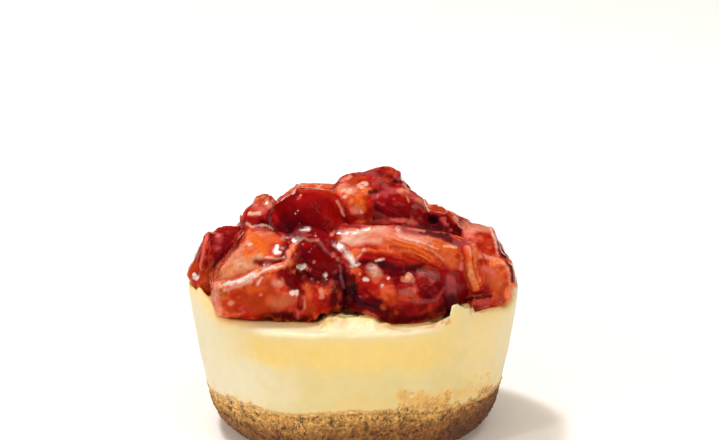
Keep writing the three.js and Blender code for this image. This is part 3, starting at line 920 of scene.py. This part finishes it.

# Strokes: colour, strength, half width in pixels, then the columns and rows of a path in the photograph. Pale
# strokes paint highlights, reflections and lit rims as well as flesh, and dark ones paint shade under and
# between the pieces as well as sauce
STROKES = [
    # peach wedge at the far left
    ("deep", 1, 16, 222, 238, 216, 262, 212, 285), ("maroon", 0.9, 8, 240, 232, 234, 246, 226, 256),
    ("rust", 0.9, 4, 205, 243, 197, 262, 192, 272), ("rust", 0.8, 8, 204, 272, 203, 286, 212, 292),
    ("maroon", 0.6, 4, 208, 296, 213, 290), ("maroon", 0.8, 3, 211, 280, 212, 292),
    ("pink", 0.6, 1.8, 208, 236, 206, 246, 204, 258, 201, 270),
    ("maroon", 0.7, 1.8, 206, 234, 202, 248, 198, 262), ("rose", 0.8, 6, 219, 238),
    ("pink", 0.8, 3, 218, 235), ("rose", 0.6, 5, 217, 248), ("rose", 0.5, 3, 228, 232),
    ("deep", 0.8, 3.5, 220, 226, 240, 222), ("red", 0.6, 5, 212, 228, 228, 228, 244, 228),
    ("frost", 1, 3.6, 196, 276), ("rust", 0.8, 3, 190, 274),
    # big piece at the front left: grainy top
    ("orange", 0.8, 22, 258, 245, 262, 262), ("tan", 0.9, 16, 226, 270, 240, 262, 250, 262),
    ("beige", 0.5, 7, 238, 262, 246, 266),
    ("maroon", 0.95, 3.4, 243, 231, 237, 240, 229, 249, 221, 257, 214, 266),
    ("salmon", 0.8, 3.5, 225, 266, 236, 255, 244, 246, 249, 239, 256, 233, 270, 234),
    ("bright", 0.9, 8, 254, 238, 262, 246), ("bright", 0.8, 6, 247, 254, 262, 254),
    ("tan", 0.5, 6, 250, 246), ("orange", 0.9, 7, 276, 240, 266, 236), ("salmon", 0.7, 4, 284, 238),
    ("cream", 0.8, 3.5, 250, 244), ("tan", 0.7, 8, 248, 264, 258, 258), ("beige", 0.6, 5, 259, 258),
    ("tan", 0.5, 6, 228, 267), ("frost", 0.9, 3, 277, 246, 276, 252, 280, 252),
    ("deep", 0.8, 6, 288, 242, 284, 252), ("deep", 0.95, 4.5, 256, 262, 268, 262, 284, 260),
    ("cream", 0.8, 1.1, 265, 257, 276, 257.5, 284, 256),
    # its wet ridge, with its painted highlight
    ("cream", 0.9, 3.6, 220, 286, 234, 283, 246, 279, 258, 274),
    ("frost", 0.95, 2.6, 226, 285, 242, 281, 254, 276), ("rust", 0.8, 1, 222, 284, 236, 280, 248, 275),
    ("salmon", 0.9, 1.1, 230, 287, 244, 283, 254, 278),
    ("salmon", 0.7, 3, 258, 274, 264, 270, 272, 268, 282, 265),
    ("cream", 1, 1.5, 258, 275, 264, 271, 274, 268, 283, 266),
    ("cream", 0.8, 1.2, 262, 268, 270, 265, 280, 263), ("frost", 1, 1.3, 264, 271, 272, 268),
    ("salmon", 0.8, 3, 284, 265, 289, 260, 288, 253), ("salmon", 0.8, 1.6, 286, 262, 287, 255, 292, 248),
    ("cream", 0.8, 1.6, 293, 247, 298, 243, 303, 238), ("frost", 0.8, 2.5, 296, 238),
    ("cream", 0.8, 2.5, 258, 284, 262, 277), ("rust", 0.6, 1.5, 226, 281, 240, 277),
    ("cream", 0.6, 2.5, 224, 290, 238, 286, 252, 281), ("deep", 0.9, 4, 288, 269, 295, 268),
    ("deep", 0.8, 2.5, 287, 247, 291, 243),
    # its front face, with painted shade at its right side and its foot
    ("rust", 0.85, 20, 232, 302, 262, 298), ("salmon", 0.9, 5, 217, 284, 216, 298, 219, 312),
    ("tan", 0.5, 8, 276, 304, 290, 300), ("orange", 0.7, 6, 270, 300),
    ("maroon", 0.95, 7, 288, 278, 293, 286), ("deep", 0.8, 7, 283, 274, 298, 284),
    ("salmon", 0.9, 4.5, 276, 283, 281, 284), ("cream", 0.5, 2, 279, 282), ("ember", 0.8, 5, 261, 296),
    ("salmon", 0.7, 2.2, 261, 295), ("ember", 0.8, 6, 238, 308), ("rose", 0.7, 4, 241, 309),
    ("salmon", 0.8, 3.5, 231, 303), ("ember", 0.6, 4, 232, 297, 240, 299),
    ("bright", 0.5, 6, 250, 290, 262, 288), ("rust", 0.7, 6, 254, 310, 266, 316),
    ("maroon", 0.95, 6, 262, 319, 280, 316, 300, 318), ("black", 0.5, 3, 270, 322, 300, 323),
    ("red", 0.8, 5, 230, 319, 258, 318), ("rose", 0.6, 2, 253, 318),
    ("frost", 0.9, 3.5, 291, 293, 297, 293),
    # small piece beside it
    ("ember", 0.9, 12, 312, 292, 314, 306), ("orange", 0.8, 5, 306, 288, 310, 296),
    ("red", 0.8, 6, 324, 300, 320, 312), ("salmon", 0.9, 3, 321, 290, 322, 297),
    ("rust", 0.9, 4, 320, 317, 334, 311), ("maroon", 0.6, 6, 310, 316, 300, 322),
    ("rust", 0.8, 7, 308, 306, 312, 312), ("salmon", 0.6, 2.5, 304, 298, 304, 308),
    ("rose", 0.8, 5, 298, 316), ("pink", 0.5, 2.5, 298, 312), ("deep", 0.9, 7, 334, 294, 332, 308),
    ("maroon", 0.9, 7, 298, 274, 312, 276, 322, 280), ("salmon", 0.8, 1.8, 308, 268),
    ("pink", 0.8, 1.5, 311, 269), ("rust", 0.8, 3, 304, 276), ("pink", 0.6, 1.5, 318, 282),
    # cherry at the front
    ("deep", 1, 18, 308, 256, 318, 262), ("maroon", 0.8, 9, 303, 257), ("deep", 0.9, 8, 328, 262, 330, 272),
    ("frost", 0.95, 3, 299, 267, 305, 265.5), ("frost", 0.95, 2.6, 325, 274, 325, 277),
    ("pink", 0.9, 3.5, 333, 255), ("tan", 0.6, 2.5, 338, 259), ("rose", 0.7, 2.5, 342, 261),
    ("rose", 0.8, 3, 335, 272), ("rose", 0.8, 3, 332, 283), ("salmon", 0.6, 2, 314, 262),
    ("mauve", 0.8, 2, 318, 240, 325, 250, 330, 254), ("salmon", 0.7, 1.5, 300, 236, 310, 241, 318, 240),
    ("frost", 0.9, 3.2, 294, 241, 298, 237), ("salmon", 0.8, 1.6, 303, 244), ("rose", 0.7, 1.6, 315, 246),
    # dark pool in the middle
    ("black", 1, 11, 343, 275, 346, 300), ("black", 0.85, 10, 356, 300, 378, 306),
    ("maroon", 0.8, 7, 384, 310, 400, 314), ("mauve", 0.7, 1.8, 340, 266, 341, 276, 344, 288),
    ("maroon", 0.8, 5, 336, 290, 334, 304),
    # smooth cherry half at the upper left, its top rim painted with light glowing through it
    ("deep", 1, 26, 300, 214, 318, 214), ("red", 0.9, 12, 330, 212, 334, 222),
    ("red", 0.8, 9, 300, 200, 318, 196), ("maroon", 0.9, 14, 287, 222, 296, 226),
    ("black", 0.4, 8, 290, 228),
    ("ember", 0.9, 4.5, 281, 203, 291, 194, 304, 190, 318, 190, 330, 194, 338, 203),
    ("rust", 0.8, 3, 296, 190, 310, 187.5, 324, 189), ("salmon", 0.8, 1.6, 304, 188, 318, 188.5),
    ("rose", 0.9, 2, 300, 196, 298, 199), ("salmon", 0.8, 1.6, 337, 201, 341, 209, 344, 216),
    ("rose", 0.5, 2, 298, 210), ("frost", 1, 3, 301, 229, 309, 229), ("mauve", 0.7, 2, 303, 234, 311, 235),
    ("red", 0.8, 5, 274, 212, 276, 222),
    # the two lumps beside it
    ("rust", 0.9, 7, 262, 202, 256, 206), ("salmon", 0.9, 5, 267, 201),
    ("pink", 0.6, 6, 255, 205, 262, 210), ("frost", 0.8, 3, 267, 203), ("orange", 0.6, 3, 272, 210),
    ("pink", 0.5, 5, 255, 216), ("rose", 0.8, 3, 254, 207), ("cream", 0.8, 2.6, 250, 214, 260, 213),
    ("red", 0.9, 4.5, 250, 219, 262, 219), ("maroon", 0.8, 3, 262, 222, 272, 222),
    ("maroon", 0.7, 3, 274, 208, 270, 216), ("salmon", 0.8, 4, 270, 206, 274, 200),
    ("tan", 0.5, 2, 246, 208, 254, 200, 264, 196),
    ("cream", 0.8, 1.8, 247, 223, 252, 227, 260, 225, 268, 226, 273, 229),
    ("mauve", 0.5, 3, 256, 228, 266, 230),
    # slice behind it
    ("deep", 0.95, 7, 278, 208, 286, 199, 296, 193),
    ("orange", 0.9, 5, 300, 185, 312, 184, 326, 186, 334, 190),
    ("tan", 0.8, 1.6, 277, 203, 284, 195, 292, 188), ("beige", 0.8, 2, 296, 186, 306, 183),
    ("beige", 0.7, 1.8, 318, 186, 325, 183, 333, 184),
    # top of the heap
    ("orange", 0.9, 10, 352, 195, 356, 204), ("salmon", 0.9, 6, 342, 188, 352, 190),
    ("cream", 0.9, 3, 345, 197), ("cream", 0.6, 4, 343, 190, 350, 192),
    ("bright", 0.8, 7, 356, 200, 362, 204), ("salmon", 0.8, 6, 356, 210, 360, 214),
    ("cream", 0.8, 2.5, 361, 212), ("pink", 0.7, 3, 352, 209), ("pink", 0.8, 2.5, 360, 220),
    ("ember", 0.8, 5, 368, 198, 368, 216), ("red", 0.8, 4, 352, 218, 366, 216),
    ("red", 0.6, 4, 346, 210, 350, 222), ("ember", 0.8, 4, 344, 204), ("rust", 0.8, 6, 352, 181, 360, 178),
    ("salmon", 0.8, 3, 342, 181, 350, 176), ("mauve", 0.8, 3, 352, 172, 372, 172, 378, 176),
    ("red", 0.7, 4, 360, 182), ("cream", 0.9, 4, 360, 186, 366, 184), ("rose", 0.9, 5, 374, 184),
    ("ember", 0.7, 4, 376, 188), ("maroon", 0.9, 3.5, 370, 192, 382, 191),
    ("deep", 0.75, 8, 382, 173, 392, 177), ("maroon", 0.9, 5, 394, 182, 398, 180),
    ("mauve", 0.8, 3, 378, 180, 386, 187, 394, 192), ("rose", 0.8, 2.5, 395, 176, 398, 179),
    ("salmon", 0.7, 2.5, 404, 184, 408, 190), ("rose", 0.7, 4, 374, 197, 384, 193, 396, 190),
    ("salmon", 0.8, 4, 400, 190, 412, 197), ("rose", 0.9, 6, 412, 196, 424, 204),
    ("salmon", 0.7, 3, 418, 199, 430, 207),
    # cherry half at the upper right
    ("deep", 0.95, 12, 392, 204, 404, 204), ("red", 0.7, 6, 396, 200, 406, 200),
    ("salmon", 0.8, 1.6, 407, 197, 409, 202), ("rose", 0.6, 1.6, 394, 199),
    ("deep", 0.9, 6, 386, 210, 400, 212), ("maroon", 0.7, 4, 376, 206, 382, 212),
    ("mauve", 0.7, 3, 374, 212, 384, 218, 396, 221), ("rust", 0.6, 4, 404, 194),
    ("red", 0.8, 5, 416, 214, 420, 220), ("rose", 0.8, 2.5, 420, 219), ("rose", 0.6, 2.5, 412, 218),
    ("mauve", 0.7, 3, 414, 206, 422, 208), ("pink", 0.85, 3.2, 371, 222, 388, 221, 404, 220, 416, 223),
    ("mauve", 0.8, 4, 396, 226, 416, 228, 436, 232), ("salmon", 0.9, 5, 382, 226, 390, 228),
    ("cream", 0.8, 4.5, 399, 230),
    # hollow cherry
    ("maroon", 1, 13, 440, 222), ("black", 1, 6.5, 433, 219), ("black", 0.8, 5, 440, 230),
    ("rust", 0.9, 3.5, 424, 210, 434, 208.5, 446, 211), ("rust", 0.8, 3, 451, 214, 455, 222),
    ("rose", 0.9, 3.5, 443, 219, 446, 224), ("rose", 0.8, 2, 451, 230), ("maroon", 0.8, 4, 448, 234),
    ("deep", 0.8, 4, 426, 222),
    # pieces at the upper right
    ("red", 0.9, 4, 458, 218, 464, 222), ("salmon", 0.6, 4, 462, 223, 472, 226),
    ("salmon", 0.9, 1.8, 454, 217, 459, 226, 464, 228), ("mauve", 0.7, 3, 468, 219, 478, 224),
    ("salmon", 0.95, 6, 468, 232, 478, 228, 488, 228), ("pink", 0.8, 5, 468, 236, 474, 240),
    ("ember", 1, 9, 485, 240, 489, 248), ("orange", 0.35, 6, 488, 244), ("orange", 0.8, 5, 480, 238),
    ("salmon", 0.9, 1.8, 490, 228, 494, 238, 497, 250, 498, 257), ("bright", 0.6, 3, 490, 247),
    ("rust", 0.7, 3, 480, 250, 492, 255), ("mauve", 0.9, 3, 497, 234, 503, 246, 508, 257),
    ("cream", 0.8, 1.8, 491, 229, 495, 238, 497, 248), ("maroon", 0.95, 4, 502, 252, 510, 266, 513, 280),
    # long slice at the front right
    ("cream", 0.9, 6, 344, 239, 352, 236, 366, 233, 384, 231), ("beige", 0.8, 7, 352, 240, 364, 236),
    ("frost", 0.7, 2.5, 347, 233, 338, 232), ("salmon", 0.8, 2, 331, 236, 334, 232),
    ("frost", 1, 4.2, 336, 243, 345, 250, 354, 262), ("rust", 0.8, 4, 338, 238),
    ("frost", 0.9, 3, 352, 266, 357, 265), ("cream", 0.8, 2, 361, 254, 357, 258),
    ("frost", 0.6, 1.6, 346, 232, 358, 230, 370, 229), ("pink", 0.6, 2, 356, 237, 366, 234),
    ("tan", 0.6, 3, 374, 234), ("salmon", 0.7, 2, 384, 228, 390, 232),
    ("frost", 0.6, 1.8, 352, 233, 358, 231), ("rose", 0.95, 3.2, 343, 226, 356, 226, 368, 225),
    ("deep", 0.7, 2.5, 343, 226, 360, 227), ("salmon", 0.8, 2, 350, 230, 362, 230),
    ("rose", 0.7, 5, 376, 224, 384, 222, 392, 226), ("orange", 0.95, 12, 372, 240, 400, 244, 430, 252),
    ("salmon", 0.8, 6, 380, 234, 410, 238, 430, 240), ("cream", 0.6, 3, 400, 236, 420, 240),
    ("bright", 0.8, 5, 404, 245, 420, 250, 428, 258), ("ember", 0.8, 6, 366, 246, 376, 248),
    ("cream", 0.5, 6, 350, 241, 364, 241, 378, 240), ("cream", 0.95, 3.2, 364, 250),
    ("red", 0.9, 6, 366, 256, 386, 256, 400, 262), ("ember", 0.7, 5, 396, 254, 416, 262),
    ("rust", 0.6, 4, 432, 252, 440, 262), ("rust", 0.6, 1.5, 392, 240, 412, 246, 434, 254),
    ("salmon", 0.6, 1.5, 396, 234, 420, 240, 440, 246), ("ember", 0.6, 2, 404, 256, 420, 262, 432, 266),
    ("bright", 0.9, 7, 436, 246, 450, 250), ("orange", 0.95, 8, 440, 252, 452, 262),
    ("rust", 0.9, 4, 458, 256, 460, 262), ("cream", 0.7, 2, 444, 246, 456, 247),
    ("salmon", 0.9, 1.2, 398, 240, 416, 244, 434, 252, 444, 260),
    ("rust", 0.9, 1.3, 394, 246, 414, 250, 430, 258), ("cream", 0.7, 1.2, 404, 238, 424, 243, 438, 249),
    ("ember", 0.8, 1.6, 402, 253, 420, 257, 436, 266), ("mauve", 0.8, 4, 400, 228, 430, 234, 452, 240),
    ("maroon", 0.85, 4, 422, 231, 438, 235, 450, 240), ("plum", 0.8, 3, 430, 228, 446, 234),
    ("salmon", 0.6, 2, 408, 228, 424, 231), ("mauve", 0.6, 4, 456, 243, 470, 244),
    # gully under the slice
    ("maroon", 1, 5, 360, 262, 378, 262, 392, 266), ("black", 0.7, 4, 380, 265, 400, 270),
    ("maroon", 0.9, 6, 400, 270, 420, 268), ("cream", 0.95, 6, 372, 268, 376, 273),
    ("salmon", 0.8, 4, 380, 275), ("frost", 0.8, 2.5, 371, 266), ("cream", 0.8, 2, 376, 261, 384, 259),
    ("black", 0.8, 1.8, 374, 263, 384, 262),
    # big red lens below it
    ("red", 0.9, 12, 362, 278, 366, 288), ("ember", 0.4, 6, 364, 284, 374, 286),
    ("deep", 0.7, 4, 388, 268, 392, 276), ("salmon", 0.9, 2, 360, 274),
    ("maroon", 0.9, 4, 353, 276, 354, 288), ("deep", 0.8, 5, 366, 291, 372, 298),
    ("black", 0.8, 5, 354, 284, 355, 300), ("maroon", 0.6, 4, 362, 300, 380, 302),
    ("frost", 0.9, 2.2, 364, 279, 368, 280), ("orange", 0.7, 4, 376, 280), ("ember", 0.8, 3, 386, 280),
    ("frost", 0.9, 2, 388.5, 278), ("frost", 1, 2.2, 382, 286), ("salmon", 0.8, 1.8, 386, 288),
    ("deep", 0.9, 8, 396, 276, 400, 284), ("cream", 0.95, 5, 408, 277),
    ("salmon", 0.9, 4, 412, 279, 404, 279), ("rust", 0.9, 6, 386, 297, 394, 301),
    ("orange", 0.7, 3, 383, 294, 386, 299), ("orange", 0.9, 5, 384, 289, 392, 292),
    ("rust", 0.8, 4, 384, 306), ("pink", 0.9, 4.5, 404, 291, 414, 290),
    ("pink", 0.9, 2.4, 408, 294, 412, 295), ("red", 0.8, 3, 400, 286, 412, 285),
    ("deep", 1, 11, 426, 290, 434, 292), ("maroon", 0.8, 6, 428, 298),
    ("rose", 0.95, 6, 420, 274, 434, 274), ("rose", 0.9, 4, 432, 280),
    ("pink", 0.35, 5, 424, 273, 432, 275), ("deep", 0.9, 7, 396, 310, 424, 306),
    ("maroon", 0.9, 6, 384, 318, 404, 321, 430, 316), ("rust", 0.7, 3, 396, 312),
    ("maroon", 0.95, 6, 350, 304, 358, 314, 376, 321), ("maroon", 0.9, 5, 436, 313, 448, 307),
    ("mauve", 0.5, 2.5, 414, 302, 436, 300), ("red", 0.7, 4, 416, 310),
    ("mauve", 0.7, 8, 450, 280, 452, 290), ("rose", 0.5, 4, 448, 276, 454, 284),
    ("plum", 0.9, 6, 452, 298, 450, 304), ("maroon", 0.9, 7, 444, 306, 452, 310),
    ("rose", 0.5, 2, 444, 288, 438, 298),
    # upright sliver at the right
    ("bright", 0.9, 5, 468, 252, 470, 268, 475, 284), ("salmon", 0.9, 3, 468, 248, 471, 254),
    ("tan", 0.9, 3, 469, 264, 472, 276, 475, 285), ("rust", 0.8, 2.5, 464, 256, 466, 276, 471, 288),
    ("pink", 0.9, 3, 462, 264, 461, 268), ("ember", 0.8, 3, 478, 262, 480, 274),
    # block at the far right
    ("orange", 1, 14, 494, 272, 496, 288), ("salmon", 0.9, 3, 480, 256, 490, 258),
    ("salmon", 0.9, 1.8, 492, 257, 503, 262, 509, 270, 510, 284, 509, 298),
    ("pink", 0.9, 4, 486, 268, 492, 272), ("pink", 0.8, 3, 494, 277), ("red", 0.7, 5, 484, 286, 490, 292),
    ("rust", 0.7, 4, 500, 294, 504, 286), ("tan", 0.6, 3, 500, 284), ("deep", 0.8, 4, 476, 292, 486, 294),
    # scrap below it
    ("rose", 0.9, 5, 480, 304, 488, 301), ("mauve", 0.8, 3, 474, 306),
    ("maroon", 0.95, 3, 466, 300, 474, 298, 490, 296), ("rust", 0.8, 3, 496, 304, 504, 301),
    ("salmon", 0.6, 1.5, 478, 309, 488, 307),
]

# Torn, grainy flesh: strength, half width and path
TORN = [
    (0.6, 9, (344, 234, 366, 231, 384, 229)),
    (0.8, 15, (230, 264, 250, 256)),
    (0.9, 10, (348, 197, 360, 210)),
    (1.0, 12, (312, 294, 322, 298)),
    (0.9, 8, (371, 268, 366, 278)),
    (0.8, 6, (409, 277)),
    (0.7, 9, (296, 270, 312, 272)),
    (0.6, 12, (270, 204, 252, 216)),
]

# Places with little glaze on them: how much is missing, half width and path
DRY = [
    (0.85, 18, (228, 268, 246, 258, 258, 246)),
    (0.6, 8, (346, 232, 366, 230, 384, 231)),
    (0.4, 10, (352, 195, 358, 210)),
    (0.5, 14, (232, 302, 262, 300)),
    (0.4, 6, (376, 272, 408, 277)),
]

# Where pieces of the heap are moved, backs and all: to the right and up in millimetres, half width and path.
# What lies as far behind the seen surface as the first depth stays, and within the second it moves in full
SHIFT_DEPTH = (9 * MM, 5 * MM)
SHIFTS = [
    (0, -1.3, 11, (282, 318, 302, 319)),
    (0, 1.6, 8, (323, 320, 333, 316)),
    (0, 1.4, 8, (358, 319, 370, 320)),
    (0, -0.9, 10, (214, 225, 242, 223)),
    (-0.4, 0, 7, (190, 266, 190, 274)),
    (0, -1.2, 8, (279, 194, 290, 188)),
    (0, 0.5, 5, (264, 197, 271, 197)),
    (0, -0.6, 9, (304, 183, 332, 182)),
    (0, -1.4, 8, (243, 208, 250, 200)),
    (0, 0.6, 6, (417, 200, 422, 202)),
    (0, 0.4, 7, (406, 189, 415, 192)),
    (0, -1.2, 8, (432, 205, 442, 207)),
    (0, -0.4, 8, (474, 222, 486, 224)),
    (0, -0.9, 13, (390, 320, 418, 321)),
    (1.0, 0.1, 13, (378, 170, 392, 172)),
    (0.6, 0, 9, (508, 260, 512, 270, 513, 284)),
]
# The same for what stands further back than this
BACK_OF = 4 * MM
BACK_SHIFTS = [
    (0, -1.3, 13, (222, 221, 232, 219, 244, 214)),
    (0, -0.7, 8, (276, 196, 290, 189)),
]

# Ridges and dents: height in millimetres, half width and path
RELIEF = [
    (0.35, 5, (216, 286, 246, 279, 262, 271, 283, 265, 287, 256, 292, 248, 299, 241)),
    (-0.5, 5, (262, 264, 284, 258)),
    (0.5, 3, (207, 236, 203, 268)),
    (0.4, 4, (302, 262, 312, 272, 326, 276)),
    (-0.5, 4, (302, 290, 300, 308)),
    (0.7, 4, (298, 316)),
    (0.25, 4, (398, 229)),
    (0.5, 5, (409, 277)),
    (0.25, 4, (388, 238, 416, 250, 438, 264)),
    (-0.25, 4, (392, 248, 424, 262)),
    (0.5, 5, (467, 250, 469, 270, 475, 287)),
    (-1.2, 6, (433, 219)),
]

# Where the sauce stands thicker and bridges the pieces: millimetres, half width and path
SAUCE_RISE = [
    (0.9, 9, (300, 232, 318, 236, 326, 244)),
    (0.8, 9, (342, 268, 346, 300)),
    (0.7, 8, (364, 262, 400, 268)),
    (0.8, 9, (352, 300, 380, 312)),
    (0.6, 7, (450, 280, 452, 304)),
    (0.5, 6, (286, 274, 300, 288)),
    (0.5, 6, (272, 218, 284, 232)),
    (0.5, 7, (372, 204, 400, 220)),
]

# Sides where the sauce mirrors the big soft light: half width and path
SHEEN = [
    (8, (422, 272, 436, 274)),
    (5, (402, 291, 411, 293)),
]
# Glints: how far a point moves at most, how nearly it faces the light already, and the wet margin in pixels
GLINT_REACH = 0.7 * MM
GLINT_TURN = 0.64
GLINT_MARGIN = 1.5
# Tint of the painted highlights, whose places are also turned to mirror a light
GLINT_TINT = "frost"
# How much of the glaze shows away from the glints
GLAZE = 0.4

# Brushes: width for each half width of the stroke, how ragged the edge is and how much of the middle is whole
BRUSHES = {
    "wide": (1.2, 0.4, 0.0),
    "light": (0.85, 0.6, 0.45),
    "fine": (1.05, 0.5, 0.3),
}
LIGHT_TINTS = (GLINT_TINT, "cream")


def half_way_to(light, place):
    """The way a surface at a place has to face to mirror a light into the camera."""
    lamp = LIT_PLACE + LIGHTS[light]["distance"] * LIGHTS[light]["direction"]
    return unit(*(unit(*(lamp - place)) + unit(*(CAMERA_PLACE - place))))


def turn_to(heap, lights, width, path):
    """Flattens what the camera sees along a path, so that it mirrors the light that it faces most nearly."""
    shares = [touch(skin, width, path, 0.25, 0.75) for skin in heap]
    total = sum(share.sum() for share in shares)
    if total < 1:
        return
    centre = sum(share @ skin.places for share, skin in zip(shares, heap)) / total
    facing = unit(*sum(share @ skin.normals for share, skin in zip(shares, heap)))
    half_way = max((half_way_to(light, centre) for light in lights), key=facing.dot)
    if facing @ half_way < GLINT_TURN:
        return
    for skin, share in zip(heap, shares):
        lean = np.maximum(skin.normals @ half_way, 0.4)
        rise = ((centre - skin.places) @ half_way) / lean
        skin.push(np.clip(rise, -GLINT_REACH, GLINT_REACH) * share)


def glint(heap, lights, width, path, margin=0):
    """Wets what the camera sees along a path, and turns it to the light."""
    for skin in heap:
        skin.wet = np.maximum(skin.wet, touch(skin, width + margin, path))
    turn_to(heap, lights, width, path)


def shift_pieces(skin):
    """Moves what stands at a path in the photograph, seen or close behind what is seen."""
    pixels = np.stack([skin.column, skin.row], axis=1)
    near = smoothstep(*SHIFT_DEPTH, skin.hidden)
    back = smoothstep(BACK_OF - 2 * MM, BACK_OF, skin.places[:, 1])
    for share, shifts in ((near, SHIFTS), (back, BACK_SHIFTS)):
        for aside, rise, width, path in shifts:
            edge = path_distance(pixels, points_of(path)) / width
            amount = share * smoothstep(1, 0.2, edge) * MM
            skin.places[:, 0] += aside * amount
            skin.places[:, 2] += rise * amount
    skin.move(skin.places)


def carve(heap):
    """Ridges, dents, torn flesh and glints on whatever the camera sees first, and the painted light and shade
    of its ridges and hollows.
    """
    for skin in heap:
        torn = strongest(skin, TORN, 0.3)
        dry = strongest(skin, DRY, 0.9)
        roughness = torn * (0.1 * MM + 0.3 * MM * skin.noise(1.1, 61, 3))
        rise = raised(skin, RELIEF, roughness)
        skin.mark("grain", torn)
        skin.wet = (1 - (1 - GLAZE) * skin.spread(skin.front)) * (1 - dry)
        skin.push(rise)
        skin.film = film_over(skin)
        # Painted shade in hollows and wide gullies, and painted light on ridges, kept for the strokes
        fine = 1 - skin.hollows(10) / HOLLOW_SHADE + 0.1 * skin.noise(0.9, 91, 2)
        gullies = smoothstep(0.1 * MM, 0.9 * MM, skin.hollows(60))
        skin.shade = np.clip(fine, 0.75, 1.2) * (1 - GULLY_SHADE * gullies)
    for width, path in SHEEN:
        glint(heap, ["soft"], width, path)
    for tint, _, width, *path in STROKES:
        if tint == GLINT_TINT:
            ends = points_of(path)
            for pair in list(zip(ends[:-1], ends[1:])) or [ends]:
                glint(heap, ["key", "fill"], width, pair, GLINT_MARGIN)


def brushed(skin, colours):
    """The strokes, softly for wide ones, and then the painted light and shade of ridges, hollows and gullies.
    """
    for tint, strength, width, *path in STROKES:
        kind = "wide" if width > WIDE_STROKE else "light" if tint in LIGHT_TINTS else "fine"
        spread, ragged, core = BRUSHES[kind]
        covered, amount = stroke(skin, spread * width, path, ragged, core)
        colours[covered] = mix(colours[covered], TINTS[tint], strength * amount)
    return colours * skin.shade[:, None]


def make_heap():
    """The fruit and the sauce, carved but not yet painted."""
    nodes = sorted(set(frame["nodes"]) - {"crust", "custard", "sauce"})
    fruit = [make_fruit(node, FIRST_SEED + SEED_STEP * i) for i, node in enumerate(nodes)]
    sauce = make_sauce(fruit)
    heap = fruit + [sauce]
    look(heap)
    for skin in heap:
        skin.refine()
    look(heap)
    for skin in heap:
        skin.relax(2, skin.spread(1))
        shift_pieces(skin)
    sauce.push(raised(sauce, SAUCE_RISE))
    look(heap)
    carve(heap)
    return fruit, sauce


def finish_fruit(fruit, over_heap):
    """Paints the fruit: flesh under a film of sauce, deeper where a piece comes out of the sauce."""
    material = fruit_material()
    for piece in fruit:
        height, _ = measure(piece.places, over_heap, EDGE_REACH)
        depth = piece.film + SAUCE_EDGE * np.exp(-np.maximum(height, 0) / EDGE_FADE)
        piece.paint(brushed(piece, through_sauce(flesh_paint(piece), depth)))
        piece.mark("wet", piece.wet)
        piece.dress(material, piece.slot, piece.node)


def finish_sauce(sauce, fruit, custard):
    """Paints the sauce with what lies under it, as far as its depth lets that show."""
    under = joined([piece.piece for piece in fruit] + [custard.piece], "under_sauce")
    below = np.concatenate([piece.colours for piece in fruit] + [custard.colours])
    starts = indices_of(under.data.polygons, "loop_start")
    corners = indices_of(under.data.loops, "vertex_index")[starts]
    tree = BVHTree.FromObject(under, bpy.context.evaluated_depsgraph_get())
    bpy.data.objects.remove(under)
    depth, faces = measure(sauce.places, tree, FAR_REACH)
    depth = sauce.film + SAUCE_EDGE + np.maximum(depth, 0)
    sauce.paint(brushed(sauce, through_sauce(below[corners[faces]], depth)))
    sauce.mark("wet", sauce.wet)
    sauce.dress(sauce_material(), "fruit_sauce", "sauce")


# Stage: the floor's half side, its two colours and the distances between which they fade into each other. The
# warm near colour is painted bounce light from the cake
FLOOR_HALF = 1.5
FLOOR_BOUNCE_TINT = (0.98, 0.955, 0.925)
FLOOR_FAR = (1.0, 1.0, 1.0)
FLOOR_FADE = (0.08, 0.2)
# A little light of its own keeps the shadow on the floor pale
FLOOR_GLOW = (0.1, 0.075, 0.055, 1)
# Light of the studio: from overhead, from the camera's side, and low behind the cake
SKY_TOP = 0.36
SKY_FRONT = 0.37
SKY_LOW = 0.04


def make_floor():
    mesh = bpy.data.meshes.new("floor")
    corners = [(x * FLOOR_HALF, y * FLOOR_HALF, 0) for x, y in ((-1, -1), (1, -1), (1, 1), (-1, 1))]
    mesh.from_pydata(corners, [], [(0, 1, 2, 3)])
    mesh.materials.append(floor_material())
    placed("floor", mesh)


def make_lights():
    for name, light in LIGHTS.items():
        lamp = bpy.data.lights.new(name, "AREA")
        lamp.size = light["size"]
        lamp.energy = light["power"]
        lamp.color = light.get("colour", (1, 1, 1))
        obj = placed(name, lamp)
        obj.location = LIT_PLACE + light["distance"] * light["direction"]
        obj.rotation_euler = Vector(-light["direction"]).to_track_quat("-Z", "Y").to_euler()


def make_world():
    """A soft studio: light from overhead and from the camera's side, and dim low behind the cake, so that wet
    tops seen at a slant stay deep."""
    nodes = Nodes(bpy.data.worlds.new("studio"), "Background")
    way = nodes.add("ShaderNodeSeparateXYZ", Vector=nodes.place("Generated")).outputs
    overhead = nodes.range(way["Z"], 0.3, 0.9, 0, SKY_TOP, "SMOOTHSTEP")
    front = nodes.range(way["Y"], 0.2, -0.6, SKY_LOW, SKY_FRONT, "SMOOTHSTEP")
    nodes.set(Color=(*WARM, 1), Strength=nodes.plus(overhead, front))
    bpy.context.scene.world = nodes.owner


def make_camera():
    camera = bpy.data.cameras.new("camera")
    camera.sensor_width = SENSOR_MM
    camera.lens = FOCAL_PIXELS * SENSOR_MM / IMAGE_WIDTH
    camera.clip_start = 0.01
    obj = placed("camera", camera)
    obj.location = CAMERA_PLACE
    obj.rotation_euler = (math.pi / 2 - CAMERA_PITCH, 0, -CAMERA_YAW)
    bpy.context.scene.camera = obj


def main():
    make_camera()
    make_world()
    make_floor()
    make_lights()
    bpy.context.scene.view_settings.view_transform = "Standard"
    line = make_crust()
    custard = make_custard(line)
    fruit, sauce = make_heap()
    over_heap = sauce.tree()
    finish_custard(custard, line, over_heap)
    finish_fruit(fruit, over_heap)
    finish_sauce(sauce, fruit, custard)


main()
